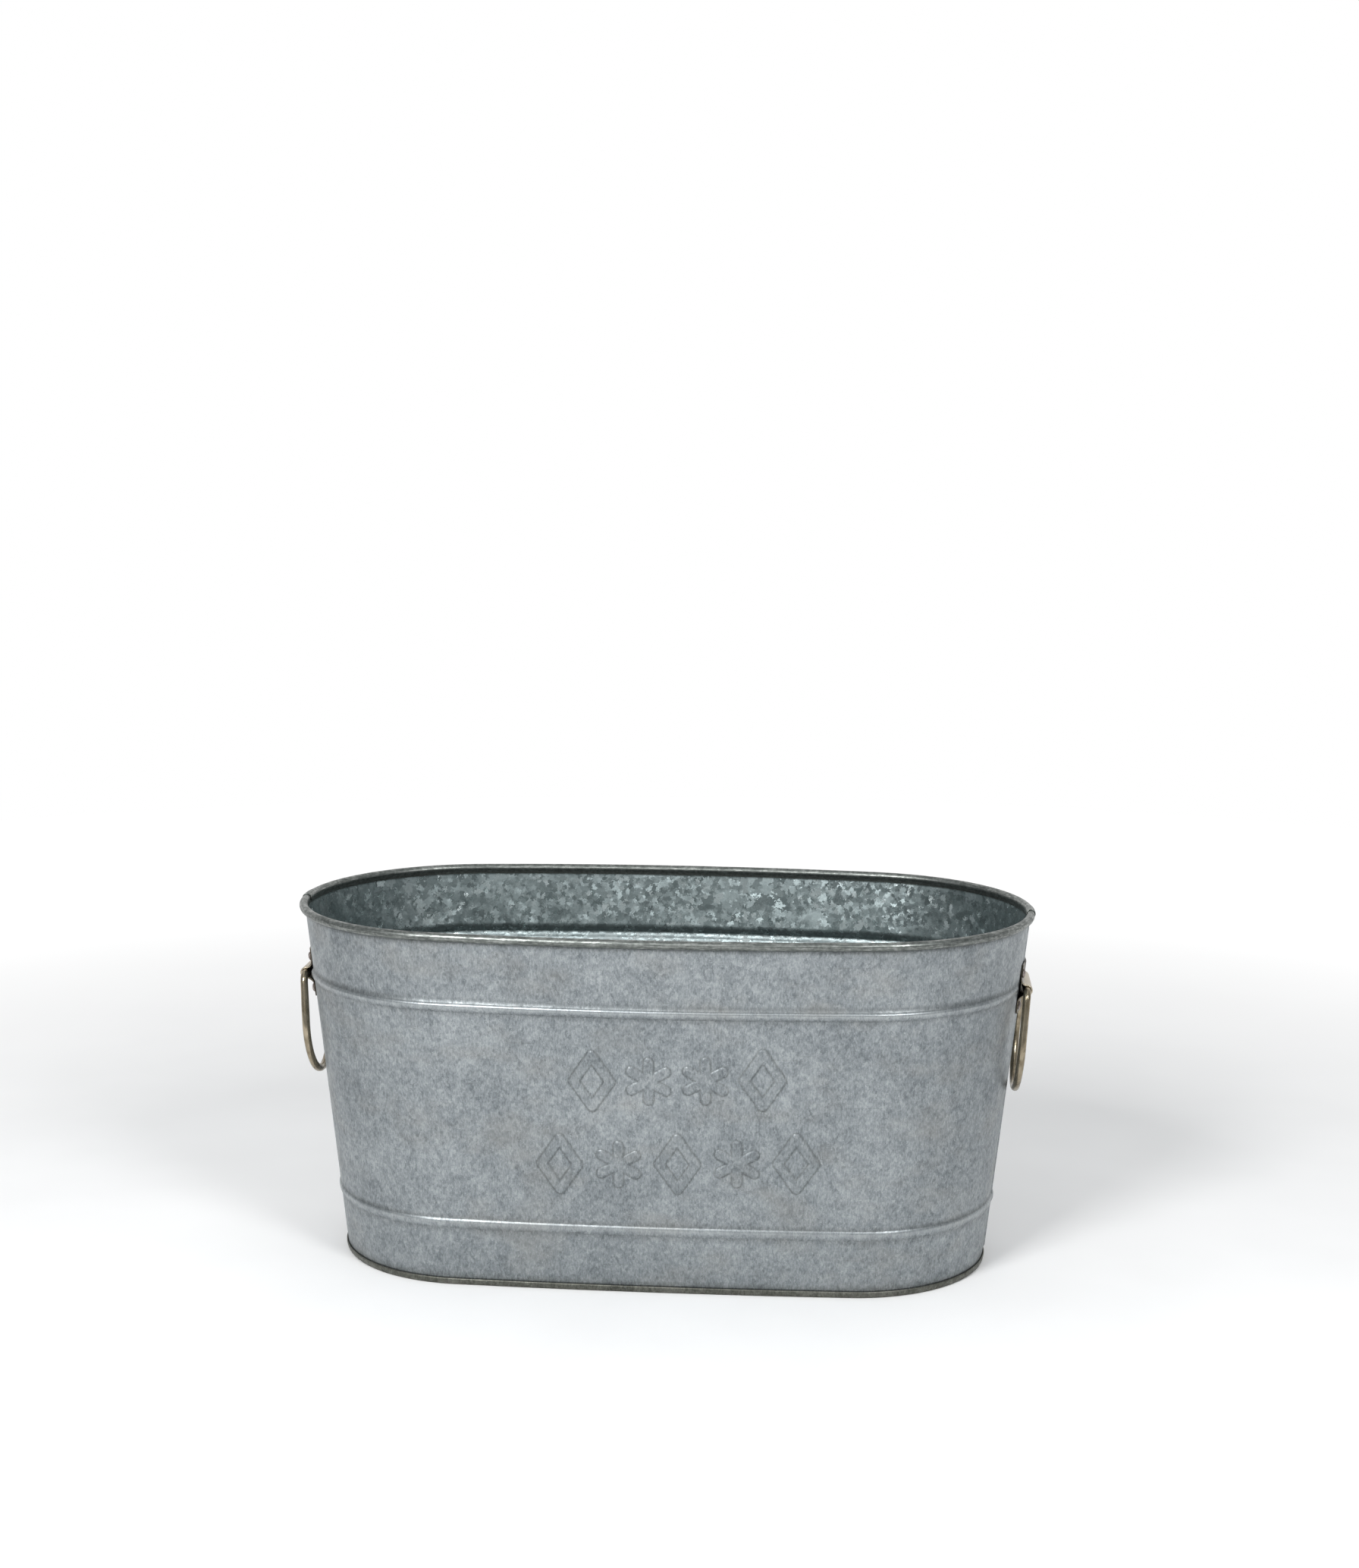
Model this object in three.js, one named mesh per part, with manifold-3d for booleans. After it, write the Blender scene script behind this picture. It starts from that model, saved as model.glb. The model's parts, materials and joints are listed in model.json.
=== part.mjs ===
// Oval galvanised steel drinks tub with two swinging ring handles.
//
// Millimetres, +Z up. X runs along the long axis, the front side faces -Y, and
// the origin is the centre of the foot print on the ground.
//
// The body is two half shells of sheet, a front and a back, each shaped with
// two pressed beads and an outward curl at the top. The curls are closed round
// one loop of stiffening wire. The front shell laps over the back shell in the
// middle of each rounded end, and the handle brackets straddle those seams.
// The base pan's edge folds round the bottom of both shells. Each handle is a
// wire ring held by a sheet strap, and each strap is fixed by four rivets.

import * as THREE from 'three';
import { mergeVertices } from 'three/addons/utils/BufferGeometryUtils.js';
import Module from 'manifold-3d';

const wasm = await Module();
wasm.setup();

// ---- Driving dimensions ---------------------------------------------------

// Body
const OVER_RIM_LENGTH = 560;
const OVER_RIM_WIDTH = 293;
const HEIGHT = 273;
const SIDE_BOW_RIM = 9; // how far a long side bulges past the end radius
const SIDE_BOW_GROUND = 3;
const FLARE = 29; // growth of the end radius from ground to rim
const SHEET = 0.8;
const CLEARANCE = 0.3; // air between pieces that bear on one another

// Wired rim
const RIM_WIRE_DIAMETER = 4.2;
const ROLL_INSET = 1.8; // how far the curl bulges in past the wall's outer face
const ROLL_START = 205; // degrees round the roll where the wall runs into it
const ROLL_END = -112;

// Pressed beads: place of the middle, width and how far it stands proud
const UPPER_BEAD_BELOW_RIM = 56;
const UPPER_BEAD_WIDTH = 7;
const UPPER_BEAD_PROUD = 1.8;
const LOWER_BEAD_HEIGHT = 48.5;
const LOWER_BEAD_WIDTH = 8;
const LOWER_BEAD_PROUD = 1.3;
const BEAD_STOP_GAP = 1.9; // flat wall between a strap's edge and the bead
const BEAD_RUN_OUT = 10; // length over which the bead rises to full depth

// Lap seams at the rounded ends, in degrees either side of the end's middle
const LAP_HALF = 2.3;
const LAP_CLEAR = 3.2; // the offset part of the front shell ends here
const LAP_FOOT = 5; // and is back on the wall line here
const LAP_ABOVE_FOOT = 2.5; // the lap runs between these two heights
const LAP_HIGH_BELOW_RIM = 13;
const LAP_FADE = 3;
const LAP_TRIM = 0.5; // step between the two shells' tab ends

// Foot
const FOOT_HEIGHT = 5;
const FLOOR_HEIGHT = 3;

// Handle rings
const RING_WIRE_DIAMETER = 5.8;
const AXIS_BELOW_RIM = 58;
const RING_END_PLAY = 1; // straight bar past each side edge of the strap
const RING_CORNER_RADIUS = 7;
const RING_BOTTOM_RADIUS = 38;
const RING_DROP = 80;
const RING_OFF_WALL = 1.7; // degrees between a hanging ring and the wall's slope

// Handle brackets
const STRAP = 1.2;
const STRAP_HALF_WIDTH = 23.5;
const LEAF_UP = 19;
const LEAF_DOWN = 18.5;
const LEAF_ROOT_BEND = 2.4; // height of the bend from knuckle to leaf
const LEAF_NARROWING = 0.1; // share of its width that a leaf loses by its tip
const LEAF_STEP_TOP = 0.9; // the leaf stands off over the lap this far past it
const LEAF_STEP_FOOT = 1.4;
const RIVET_SPREAD = 12.2; // above and below the ring's axis
const RIVET_EDGE = 5.25; // in from the strap's side edge
const RIVET_SHANK_RADIUS = 1.6;
const RIVET_HEAD_RADIUS = 3.4;
const RIVET_HEAD_HEIGHT = 1.9;
const RIVET_TAIL_RADIUS = 2.9;
const RIVET_TAIL_HEIGHT = 1.0;

// ---- Derived dimensions ---------------------------------------------------

const RAD = Math.PI / 180;
const rollRadius = RIM_WIRE_DIAMETER / 2 + CLEARANCE + SHEET;
const rollMid = rollRadius - SHEET / 2;
const rollZ = HEIGHT - rollRadius;
const bendZ = HEIGHT - 2 * rollRadius;
const rollShift = rollRadius - ROLL_INSET;
const rollOut = rollShift + rollRadius;
const radiusTop = OVER_RIM_WIDTH / 2 - rollOut - SIDE_BOW_RIM;
const halfStraight = OVER_RIM_LENGTH / 2 - rollOut - radiusTop;
const lapLow = FOOT_HEIGHT + LAP_ABOVE_FOOT;
const lapHigh = HEIGHT - LAP_HIGH_BELOW_RIM;
const lapStep = SHEET + CLEARANCE;
const axisZ = HEIGHT - AXIS_BELOW_RIM;

const taper = FLARE / bendZ;
const wallRadius = (z) => radiusTop - taper * (bendZ - Math.min(z, bendZ));
const ringLean = Math.atan(taper) / RAD - RING_OFF_WALL;

// Angle from the end's middle, at the handle's height, of a place across it.
const turnAcross = (y) => Math.asin(y / wallRadius(axisZ)) / RAD;
const acrossTurn = (turn) => wallRadius(axisZ) * Math.sin(turn * RAD);
const rivetTurn = turnAcross(STRAP_HALF_WIDTH - RIVET_EDGE);
const beadStart = turnAcross(STRAP_HALF_WIDTH + BEAD_STOP_GAP);
const beadFull = beadStart + BEAD_RUN_OUT / wallRadius(axisZ) / RAD;
const leafTop = acrossTurn(LAP_CLEAR) + LEAF_STEP_TOP;
const leafFoot = acrossTurn(LAP_FOOT) + LEAF_STEP_FOOT;

const upperBead = {
  z: HEIGHT - UPPER_BEAD_BELOW_RIM,
  width: UPPER_BEAD_WIDTH,
  proud: UPPER_BEAD_PROUD,
};
const lowerBead = {
  z: LOWER_BEAD_HEIGHT,
  width: LOWER_BEAD_WIDTH,
  proud: LOWER_BEAD_PROUD,
};

// Half the angle that a long side's shallow arc spans, at a height.
const sideAngle = (z) => {
  const share = THREE.MathUtils.clamp(z / bendZ, 0, 1);
  const bow = THREE.MathUtils.lerp(SIDE_BOW_GROUND, SIDE_BOW_RIM, share);
  return 2 * Math.atan(bow / halfStraight);
};

// ---- The oval path --------------------------------------------------------

// One quarter's break angles, measured from the middle of a rounded end.
const END_STEPS = 8;
const SIDE_STEPS = 7;
const endAngles = [
  0, LAP_HALF, LAP_CLEAR, LAP_FOOT, beadStart,
  ...Array.from({ length: END_STEPS + 1 }, (_, i) =>
    THREE.MathUtils.lerp(beadFull, 90, i / END_STEPS)),
];

// The plan is a four-centre oval: two tight end arcs and two shallow side
// arcs that meet them without a corner. Stations run clockwise seen from
// above: right end, front, left end, back. `turn` is the signed angle from
// the middle of the nearer rounded end, negative toward the front.
function makeStations() {
  const list = [];
  const end = (side, turn) => list.push({ side, turn, onEnd: true });
  const long = (from, face) => {
    for (let i = 1; i < SIDE_STEPS; i++) {
      const along = from * (1 - (2 * i) / SIDE_STEPS);
      list.push({ side: 0, turn: face * 90, along, onEnd: false });
    }
  };
  endAngles.forEach((a) => end(1, -a));
  long(1, -1);
  [...endAngles].reverse().forEach((a) => end(-1, -a));
  endAngles.slice(1).forEach((a) => end(-1, a));
  long(-1, 1);
  [...endAngles].reverse().slice(0, -1).forEach((a) => end(1, a));
  return list;
}
const stations = makeStations();
const count = stations.length;
const stationAt = (side, turn) =>
  stations.findIndex((s) => s.side === side && Math.abs(s.turn - turn) < 1e-9);

// World point at a station, `out` millimetres outside the wall's outer face.
function onPath(station, out, z) {
  const beta = sideAngle(z);
  const r = wallRadius(z) + out;
  if (station.onEnd) {
    const limit = Math.PI / 2 - beta;
    const a = THREE.MathUtils.clamp(station.turn * RAD, -limit, limit);
    return new THREE.Vector3(
      station.side * (halfStraight + r * Math.cos(a)), r * Math.sin(a), z,
    );
  }
  const reach = r + halfStraight / Math.sin(beta);
  const setBack = halfStraight / Math.tan(beta);
  const a = station.along * beta;
  return new THREE.Vector3(
    reach * Math.sin(a),
    Math.sign(station.turn) * (reach * Math.cos(a) - setBack),
    z,
  );
}

// X of the right end wall's outer face at a given y and height.
function endWallX(y, z) {
  const at = Math.abs(y);
  const points = endAngles.map(
    (turn) => onPath({ side: 1, turn, onEnd: true }, 0, z),
  );
  const i = points.findIndex((p) => p.y > at);
  const [a, b] = [points[i - 1], points[i]];
  return THREE.MathUtils.lerp(a.x, b.x, (at - a.y) / (b.y - a.y));
}

// ---- Geometry helpers -----------------------------------------------------

// Keeps position only, merges shared vertices and drops collapsed triangles.
function weld(geometry) {
  const bare = new THREE.BufferGeometry();
  bare.setAttribute('position', geometry.getAttribute('position').clone());
  if (geometry.index) bare.setIndex(geometry.index.clone());
  const merged = mergeVertices(bare, 1e-3);
  const kept = [];
  const index = merged.index.array;
  for (let i = 0; i < index.length; i += 3) {
    const [a, b, c] = [index[i], index[i + 1], index[i + 2]];
    if (a !== b && b !== c && c !== a) kept.push(a, b, c);
  }
  merged.setIndex(kept);
  return merged;
}

// Signed volume, so that a solid can be turned to face outward.
function faceOutward(geometry) {
  const p = geometry.getAttribute('position');
  const index = geometry.index.array;
  const [a, b, c] = [0, 0, 0].map(() => new THREE.Vector3());
  let volume = 0;
  for (let i = 0; i < index.length; i += 3) {
    a.fromBufferAttribute(p, index[i]);
    b.fromBufferAttribute(p, index[i + 1]);
    c.fromBufferAttribute(p, index[i + 2]);
    volume += a.dot(b.cross(c));
  }
  if (volume < 0) {
    for (let i = 0; i < index.length; i += 3) {
      [index[i], index[i + 1]] = [index[i + 1], index[i]];
    }
  }
  return geometry;
}

// Moves every vertex by a function of its position.
function bend(geometry, move) {
  const p = geometry.getAttribute('position');
  const v = new THREE.Vector3();
  for (let i = 0; i < p.count; i++) {
    const w = move(v.fromBufferAttribute(p, i));
    p.setXYZ(i, w.x, w.y, w.z);
  }
  return faceOutward(weld(geometry));
}

function toSolid(geometry) {
  const g = faceOutward(weld(geometry));
  return new wasm.Manifold(new wasm.Mesh({
    numProp: 3,
    vertProperties: new Float32Array(g.getAttribute('position').array),
    triVerts: new Uint32Array(g.index.array),
  }));
}

function fromSolid(solid) {
  const mesh = solid.getMesh();
  const g = new THREE.BufferGeometry();
  g.setAttribute(
    'position',
    new THREE.BufferAttribute(new Float32Array(mesh.vertProperties), 3),
  );
  g.setIndex([...mesh.triVerts]);
  return g;
}

// The two faces of a strip of sheet whose middle follows an open line.
function stripFaces(line, thickness) {
  const n = line.length;
  const face = (side) => line.map((p, i) => {
    const before = line[Math.max(i - 1, 0)];
    const after = line[Math.min(i + 1, n - 1)];
    const d1 = p.clone().sub(before);
    const d2 = after.clone().sub(p);
    const u1 = (d1.length() ? d1 : d2).clone().normalize();
    const u2 = (d2.length() ? d2 : d1).clone().normalize();
    const normal = new THREE.Vector2(u1.y + u2.y, -u1.x - u2.x).normalize();
    const cosHalf = normal.x * u1.y - normal.y * u1.x;
    return p.clone().addScaledVector(
      normal, (side * thickness) / 2 / Math.max(cosHalf, 0.5),
    );
  });
  return [face(1), face(-1)];
}

// A strip of sheet: a box with a cell for each step along its section line and
// each step across, carried to the section and then by `place` to the model.
function stripGeometry(line, thickness, steps, place) {
  const cells = line.length - 1;
  const [front, back] = stripFaces(line, thickness);
  const box = new THREE.BoxGeometry(cells, 1, steps, cells, 1, steps);
  return bend(box, (v) => {
    const face = v.y > 0 ? front : back;
    return place(face[Math.round(v.x + cells / 2)], Math.round(v.z + steps / 2));
  });
}

const arcPoints = (cx, cy, radius, from, to, steps) =>
  Array.from({ length: steps + 1 }, (_, i) => {
    const a = THREE.MathUtils.lerp(from, to, i / steps) * RAD;
    return new THREE.Vector2(cx + radius * Math.cos(a), cy + radius * Math.sin(a));
  });

// ---- Body shells ----------------------------------------------------------

const beadHeights = (bead) =>
  [-1, -0.55, 0, 0.55, 1].map((s) => bead.z + (s * bead.width) / 2);

// Section of a shell: the line of the middle of the sheet, foot to curl.
function shellLine() {
  const mid = -SHEET / 2;
  const low = [
    SHEET + CLEARANCE, lapLow, lapLow + LAP_FADE,
    ...beadHeights(lowerBead),
    ...beadHeights(upperBead),
    lapHigh, lapHigh + LAP_FADE,
  ].map((z) => new THREE.Vector2(mid, z));
  const neck = new THREE.Vector2(mid, rollZ - rollRadius - 1.2);
  return [
    ...low, neck,
    ...arcPoints(rollShift, rollZ, rollMid, ROLL_START, ROLL_END, 10),
  ];
}

// How far a bead pushes the wall out at a station and height.
function beadOut(station, z) {
  const away = Math.abs(station.turn);
  const fade = THREE.MathUtils.clamp(
    (away - beadStart) / (beadFull - beadStart), 0, 1,
  );
  for (const bead of [lowerBead, upperBead]) {
    const s = Math.abs(z - bead.z) / (bead.width / 2);
    if (s < 1) {
      return bead.proud * (1 - s ** 2.2) * (bead === upperBead ? fade : 1);
    }
  }
  return 0;
}

// How far the front shell stands off where it laps the back shell.
function lapOut(station, z) {
  const turn = station.turn;
  const along = THREE.MathUtils.clamp(
    (LAP_FOOT + turn) / (LAP_FOOT - LAP_CLEAR), 0, 1,
  );
  const rise = THREE.MathUtils.clamp((z - lapLow) / LAP_FADE, 0, 1);
  const fall = THREE.MathUtils.clamp((lapHigh + LAP_FADE - z) / LAP_FADE, 0, 1);
  return lapStep * along * Math.min(rise, fall);
}

// A half shell, with the beads pressed out and the front one's laps set off.
function shellSolid(route, isFront) {
  return toSolid(stripGeometry(shellLine(), SHEET, route.length - 1, (p, step) => {
    const station = stations[route[step]];
    const out = p.x + beadOut(station, p.y)
      + (isFront ? lapOut(station, p.y) : 0);
    return onPath(station, out, p.y);
  }));
}

// Stations from one index to another, in the path's direction.
function route(from, to) {
  const list = [from];
  while (list.at(-1) !== to) list.push((list.at(-1) + 1) % count);
  return list;
}

function boxSolid(x0, x1, y0, y1, z0, z1) {
  const box = new THREE.BoxGeometry(x1 - x0, y1 - y0, z1 - z0);
  box.translate((x0 + x1) / 2, (y0 + y1) / 2, (z0 + z1) / 2);
  return toSolid(box);
}

// The lap tabs stop below the curl and above the foot, where the shells butt.
function notches(face) {
  const far = OVER_RIM_LENGTH;
  const edge = CLEARANCE / 2;
  const [y0, y1] = face < 0 ? [-edge, far] : [-far, edge];
  return [1, -1].flatMap((side) => {
    const [x0, x1] = side > 0 ? [halfStraight, far] : [-far, -halfStraight];
    const trim = face > 0 ? 2 * LAP_TRIM : LAP_TRIM;
    return [
      boxSolid(x0, x1, y0, y1, lapHigh - trim, HEIGHT + 10),
      boxSolid(x0, x1, y0, y1, -10, lapLow + LAP_FADE + trim),
    ];
  });
}

// ---- Rivets ---------------------------------------------------------------

// Frame of a rivet: origin on the wall's outer face, +Y of the lathe outward.
function rivetFrame(side, face, up) {
  const z = axisZ + up * RIVET_SPREAD;
  const a = rivetTurn * RAD;
  const lower = onPath(stations[stationAt(1, -LAP_FOOT)], 0, z);
  const upper = onPath(stations[stationAt(1, -beadStart)], 0, z);
  const r = wallRadius(z);
  const y = -r * Math.sin(a);
  const t = (y - lower.y) / (upper.y - lower.y);
  const at = lower.clone().lerp(upper, t);
  const along = upper.clone().sub(lower).normalize();
  const rise = onPath(stations[stationAt(1, -LAP_FOOT)], 0, z + 10).sub(lower);
  const out = along.clone().cross(rise).normalize();
  if (out.x < 0) out.negate();
  const flip = new THREE.Vector3(side, -face, 1);
  at.multiply(flip);
  out.multiply(flip);
  const q = new THREE.Quaternion().setFromUnitVectors(
    new THREE.Vector3(0, 1, 0), out,
  );
  return new THREE.Matrix4().compose(at, q, new THREE.Vector3(1, 1, 1));
}

const leafOuter = CLEARANCE + STRAP;
function rivetGeometry() {
  const head = leafOuter + CLEARANCE;
  const tail = -SHEET - CLEARANCE;
  const dome = Array.from({ length: 4 }, (_, i) => {
    const a = (i / 4) * 90 * RAD;
    return new THREE.Vector2(
      RIVET_HEAD_RADIUS * Math.cos(a),
      head + 0.4 + (RIVET_HEAD_HEIGHT - 0.4) * Math.sin(a),
    );
  });
  return new THREE.LatheGeometry([
    new THREE.Vector2(0, tail - RIVET_TAIL_HEIGHT),
    new THREE.Vector2(RIVET_TAIL_RADIUS * 0.8, tail - RIVET_TAIL_HEIGHT),
    new THREE.Vector2(RIVET_TAIL_RADIUS, tail - RIVET_TAIL_HEIGHT * 0.5),
    new THREE.Vector2(RIVET_TAIL_RADIUS, tail),
    new THREE.Vector2(RIVET_SHANK_RADIUS, tail),
    new THREE.Vector2(RIVET_SHANK_RADIUS, head),
    new THREE.Vector2(RIVET_HEAD_RADIUS, head),
    ...dome,
    new THREE.Vector2(0, head + RIVET_HEAD_HEIGHT),
  ], 12);
}

function rivetHole(side, face, up) {
  const hole = new THREE.CylinderGeometry(
    RIVET_SHANK_RADIUS + CLEARANCE, RIVET_SHANK_RADIUS + CLEARANCE, 14, 12,
  );
  hole.applyMatrix4(rivetFrame(side, face, up));
  return toSolid(hole);
}

const corners = [
  { face: -1, up: 1, name: 'upper_front' },
  { face: -1, up: -1, name: 'lower_front' },
  { face: 1, up: 1, name: 'upper_back' },
  { face: 1, up: -1, name: 'lower_back' },
];

function shellGeometry(face) {
  const span = face < 0
    ? route(stationAt(1, LAP_HALF), stationAt(-1, LAP_HALF))
    : route(stationAt(-1, -LAP_HALF), stationAt(1, -LAP_HALF));
  let solid = shellSolid(span, face < 0);
  notches(face).forEach((n) => { solid = solid.subtract(n); });
  [1, -1].forEach((side) => {
    corners.filter((c) => c.face === face).forEach((c) => {
      solid = solid.subtract(rivetHole(side, c.face, c.up));
    });
  });
  return fromSolid(solid);
}

// ---- Rim wire -------------------------------------------------------------

// A torus, with its big circle carried on to the oval inside the curl.
function rimWireGeometry() {
  const big = 10;
  const small = 1;
  const torus = new THREE.TorusGeometry(big, small, 8, count);
  return bend(torus, (v) => {
    const turn = (Math.atan2(v.y, v.x) / RAD + 360) % 360;
    const station = stations[(count - Math.round((turn * count) / 360)) % count];
    const out = (Math.hypot(v.x, v.y) - big) / small;
    return onPath(
      station,
      rollShift + (out * RIM_WIRE_DIAMETER) / 2,
      rollZ + (v.z / small) * (RIM_WIRE_DIAMETER / 2),
    );
  });
}

// ---- Base pan -------------------------------------------------------------

// A lathe, with its circle carried on to the oval. Lathe radius is 1000 plus
// the distance outside the wall's face, and the middle stays on the axis.
function basePanGeometry() {
  const datum = 1000;
  const inner = -SHEET - CLEARANCE;
  const innerFace = inner - SHEET;
  const outer = CLEARANCE + SHEET;
  const floorTop = FLOOR_HEIGHT + SHEET;
  const section = [
    [null, floorTop],
    [inner, floorTop],
    [inner, SHEET],
    [CLEARANCE, SHEET],
    [CLEARANCE, FOOT_HEIGHT],
    [outer, FOOT_HEIGHT],
    [outer + 0.35, FOOT_HEIGHT * 0.72],
    [outer + 0.1, SHEET * 0.6],
    [outer - SHEET * 0.6, 0],
    [innerFace + SHEET * 0.5, 0],
    [innerFace, SHEET * 0.5],
    [innerFace, FLOOR_HEIGHT],
    [null, FLOOR_HEIGHT],
  ].map(([out, z]) => new THREE.Vector2(out === null ? 0 : datum + out, z));
  const lathe = new THREE.LatheGeometry(section, count);
  return bend(lathe, (v) => {
    const reach = Math.hypot(v.x, v.z);
    if (reach < 1) return new THREE.Vector3(0, 0, v.y);
    const turn = (Math.atan2(v.x, v.z) / RAD + 360) % 360;
    const station = stations[Math.round((turn * count) / 360) % count];
    return onPath(station, reach - datum, v.y);
  });
}

// ---- Handles --------------------------------------------------------------

const axisX = endWallX(0, axisZ) + lapStep + CLEARANCE + RING_WIRE_DIAMETER / 2;

// Middle line of a ring in its own plane: y across, z up from the axis. The
// straight bar is at the top, and the legs splay to a round bottom.
function ringLine() {
  const w = STRAP_HALF_WIDTH + RING_END_PLAY;
  const rc = RING_CORNER_RADIUS;
  const rb = RING_BOTTOM_RADIUS;
  const lowZ = RING_BOTTOM_RADIUS - RING_DROP;
  const h = -rc - lowZ;
  const reach = Math.hypot(w, h);
  const lean = Math.atan2(h, w) - Math.acos((rb - rc) / reach);
  const deg = lean / RAD;
  return [
    ...arcPoints(w, -rc, rc, 90, deg, 4),
    ...arcPoints(0, lowZ, rb, deg, -180 - deg, 18),
    ...arcPoints(-w, -rc, rc, 180 - deg, 90, 4),
  ];
}

function ringGeometry() {
  const line = ringLine();
  const n = line.length;
  const big = 10;
  const torus = new THREE.TorusGeometry(big, 1, 10, n);
  return bend(torus, (v) => {
    const turn = (Math.atan2(v.y, v.x) / RAD + 360) % 360;
    const i = Math.round((turn * n) / 360) % n;
    const before = line[(i + n - 1) % n];
    const after = line[(i + 1) % n];
    const u1 = line[i].clone().sub(before).normalize();
    const u2 = after.clone().sub(line[i]).normalize();
    const normal = new THREE.Vector2(u1.y + u2.y, -u1.x - u2.x).normalize();
    const cosHalf = normal.x * u1.y - normal.y * u1.x;
    const out = (Math.hypot(v.x, v.y) - big) * (RING_WIRE_DIAMETER / 2);
    const p = line[i].clone().addScaledVector(normal, -out / cosHalf);
    return new THREE.Vector3(v.z * (RING_WIRE_DIAMETER / 2), p.x, p.y);
  });
}

// Leaf stand-off from the wall: it steps out over the lap seam in the middle.
const leafOut = (y) => CLEARANCE + lapStep * THREE.MathUtils.clamp(
  (leafFoot - Math.abs(y)) / (leafFoot - leafTop), 0, 1,
);

// A strap, drawn in section for the middle of the right end. Across its width
// the leaves follow the wall, and the knuckle stays straight.
function strapGeometry() {
  const mid = RING_WIRE_DIAMETER / 2 + CLEARANCE + STRAP / 2;
  const root = mid + LEAF_ROOT_BEND;
  const leafX = (z) => endWallX(0, z) + leafOut(0) + STRAP / 2;
  const leafPoint = (dz) => new THREE.Vector2(leafX(axisZ + dz), axisZ + dz);
  const line = [
    leafPoint(LEAF_UP), leafPoint(root + 2), leafPoint(root),
    ...arcPoints(axisX, axisZ, mid, 112, -112, 9),
    leafPoint(-root), leafPoint(-root - 2), leafPoint(-LEAF_DOWN),
  ];
  const half = [leafTop, leafFoot, STRAP_HALF_WIDTH - RIVET_EDGE, STRAP_HALF_WIDTH];
  const across = [...half.map((y) => -y).reverse(), 0, ...half];
  const steps = across.length - 1;
  return stripGeometry(line, STRAP, steps, (p, column) => {
    const away = Math.abs(p.y - axisZ);
    const follow = THREE.MathUtils.clamp((away - mid) / (root - mid), 0, 1);
    const toTip = THREE.MathUtils.clamp(
      (away - root) / (LEAF_UP - root), 0, 1,
    );
    const isEdge = column === 0 || column === steps;
    const y = across[column] * (isEdge ? 1 - LEAF_NARROWING * toTip : 1);
    const back = endWallX(0, p.y) + leafOut(0) - endWallX(y, p.y) - leafOut(y);
    return new THREE.Vector3(p.x - follow * back, y, p.y);
  });
}

function bracketGeometry(side) {
  const g = strapGeometry();
  if (side < 0) g.rotateZ(Math.PI);
  let solid = toSolid(g);
  corners.forEach((c) => {
    solid = solid.subtract(rivetHole(side, c.face, c.up));
  });
  return fromSolid(solid);
}

// ---- Assembly -------------------------------------------------------------

const finish = (color, roughness, metalness) =>
  new THREE.MeshStandardMaterial({ color, roughness, metalness });
const galvanised = finish('#949a9c', 0.5, 0.85);
const galvanisedFloor = finish('#868e90', 0.55, 0.85);
const rimSteel = finish('#b3b2ab', 0.4, 0.9);
const nickel = finish('#87817a', 0.28, 1.0);
const strapSteel = finish('#77726b', 0.34, 1.0);
const rivetSteel = finish('#a29a93', 0.4, 0.95);

const tub = new THREE.Group();
function piece(name, geometry, material, parent = tub) {
  const mesh = new THREE.Mesh(geometry, material);
  mesh.name = name;
  parent.add(mesh);
  return mesh;
}

piece('front_shell', shellGeometry(-1), galvanised);
piece('back_shell', shellGeometry(1), galvanised);
piece('base_pan', basePanGeometry(), galvanisedFloor);
piece('rim_wire', rimWireGeometry(), rimSteel);

[[-1, 'left'], [1, 'right']].forEach(([side, word]) => {
  piece(`${word}_handle_bracket`, bracketGeometry(side), strapSteel);
  const hang = new THREE.Group();
  hang.position.set(side * axisX, 0, axisZ);
  hang.rotation.y = side * ringLean * RAD;
  tub.add(hang);
  piece(`${word}_handle_ring`, ringGeometry(), nickel, hang);
  corners.forEach((c) => {
    const rivet = piece(
      `${word}_rivet_${c.name}`, rivetGeometry(), rivetSteel,
    );
    rivet.applyMatrix4(rivetFrame(side, c.face, c.up));
  });
});

export default tub;
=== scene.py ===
"""Looks of an oval galvanised steel drinks tub with two swinging ring handles.

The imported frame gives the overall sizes, the places of the pieces and the two
hinges. Every visible piece is built here in mesh code around that frame, in
metres, with +Z up, the long axis along X and the front facing -Y.
"""

import json
import logging
import math
from dataclasses import dataclass, field
from enum import Enum, IntEnum
from typing import Any, Callable, Optional, Sequence, Union

import bmesh
import bpy
import numpy as np
from mathutils import Matrix, Vector, noise


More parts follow.
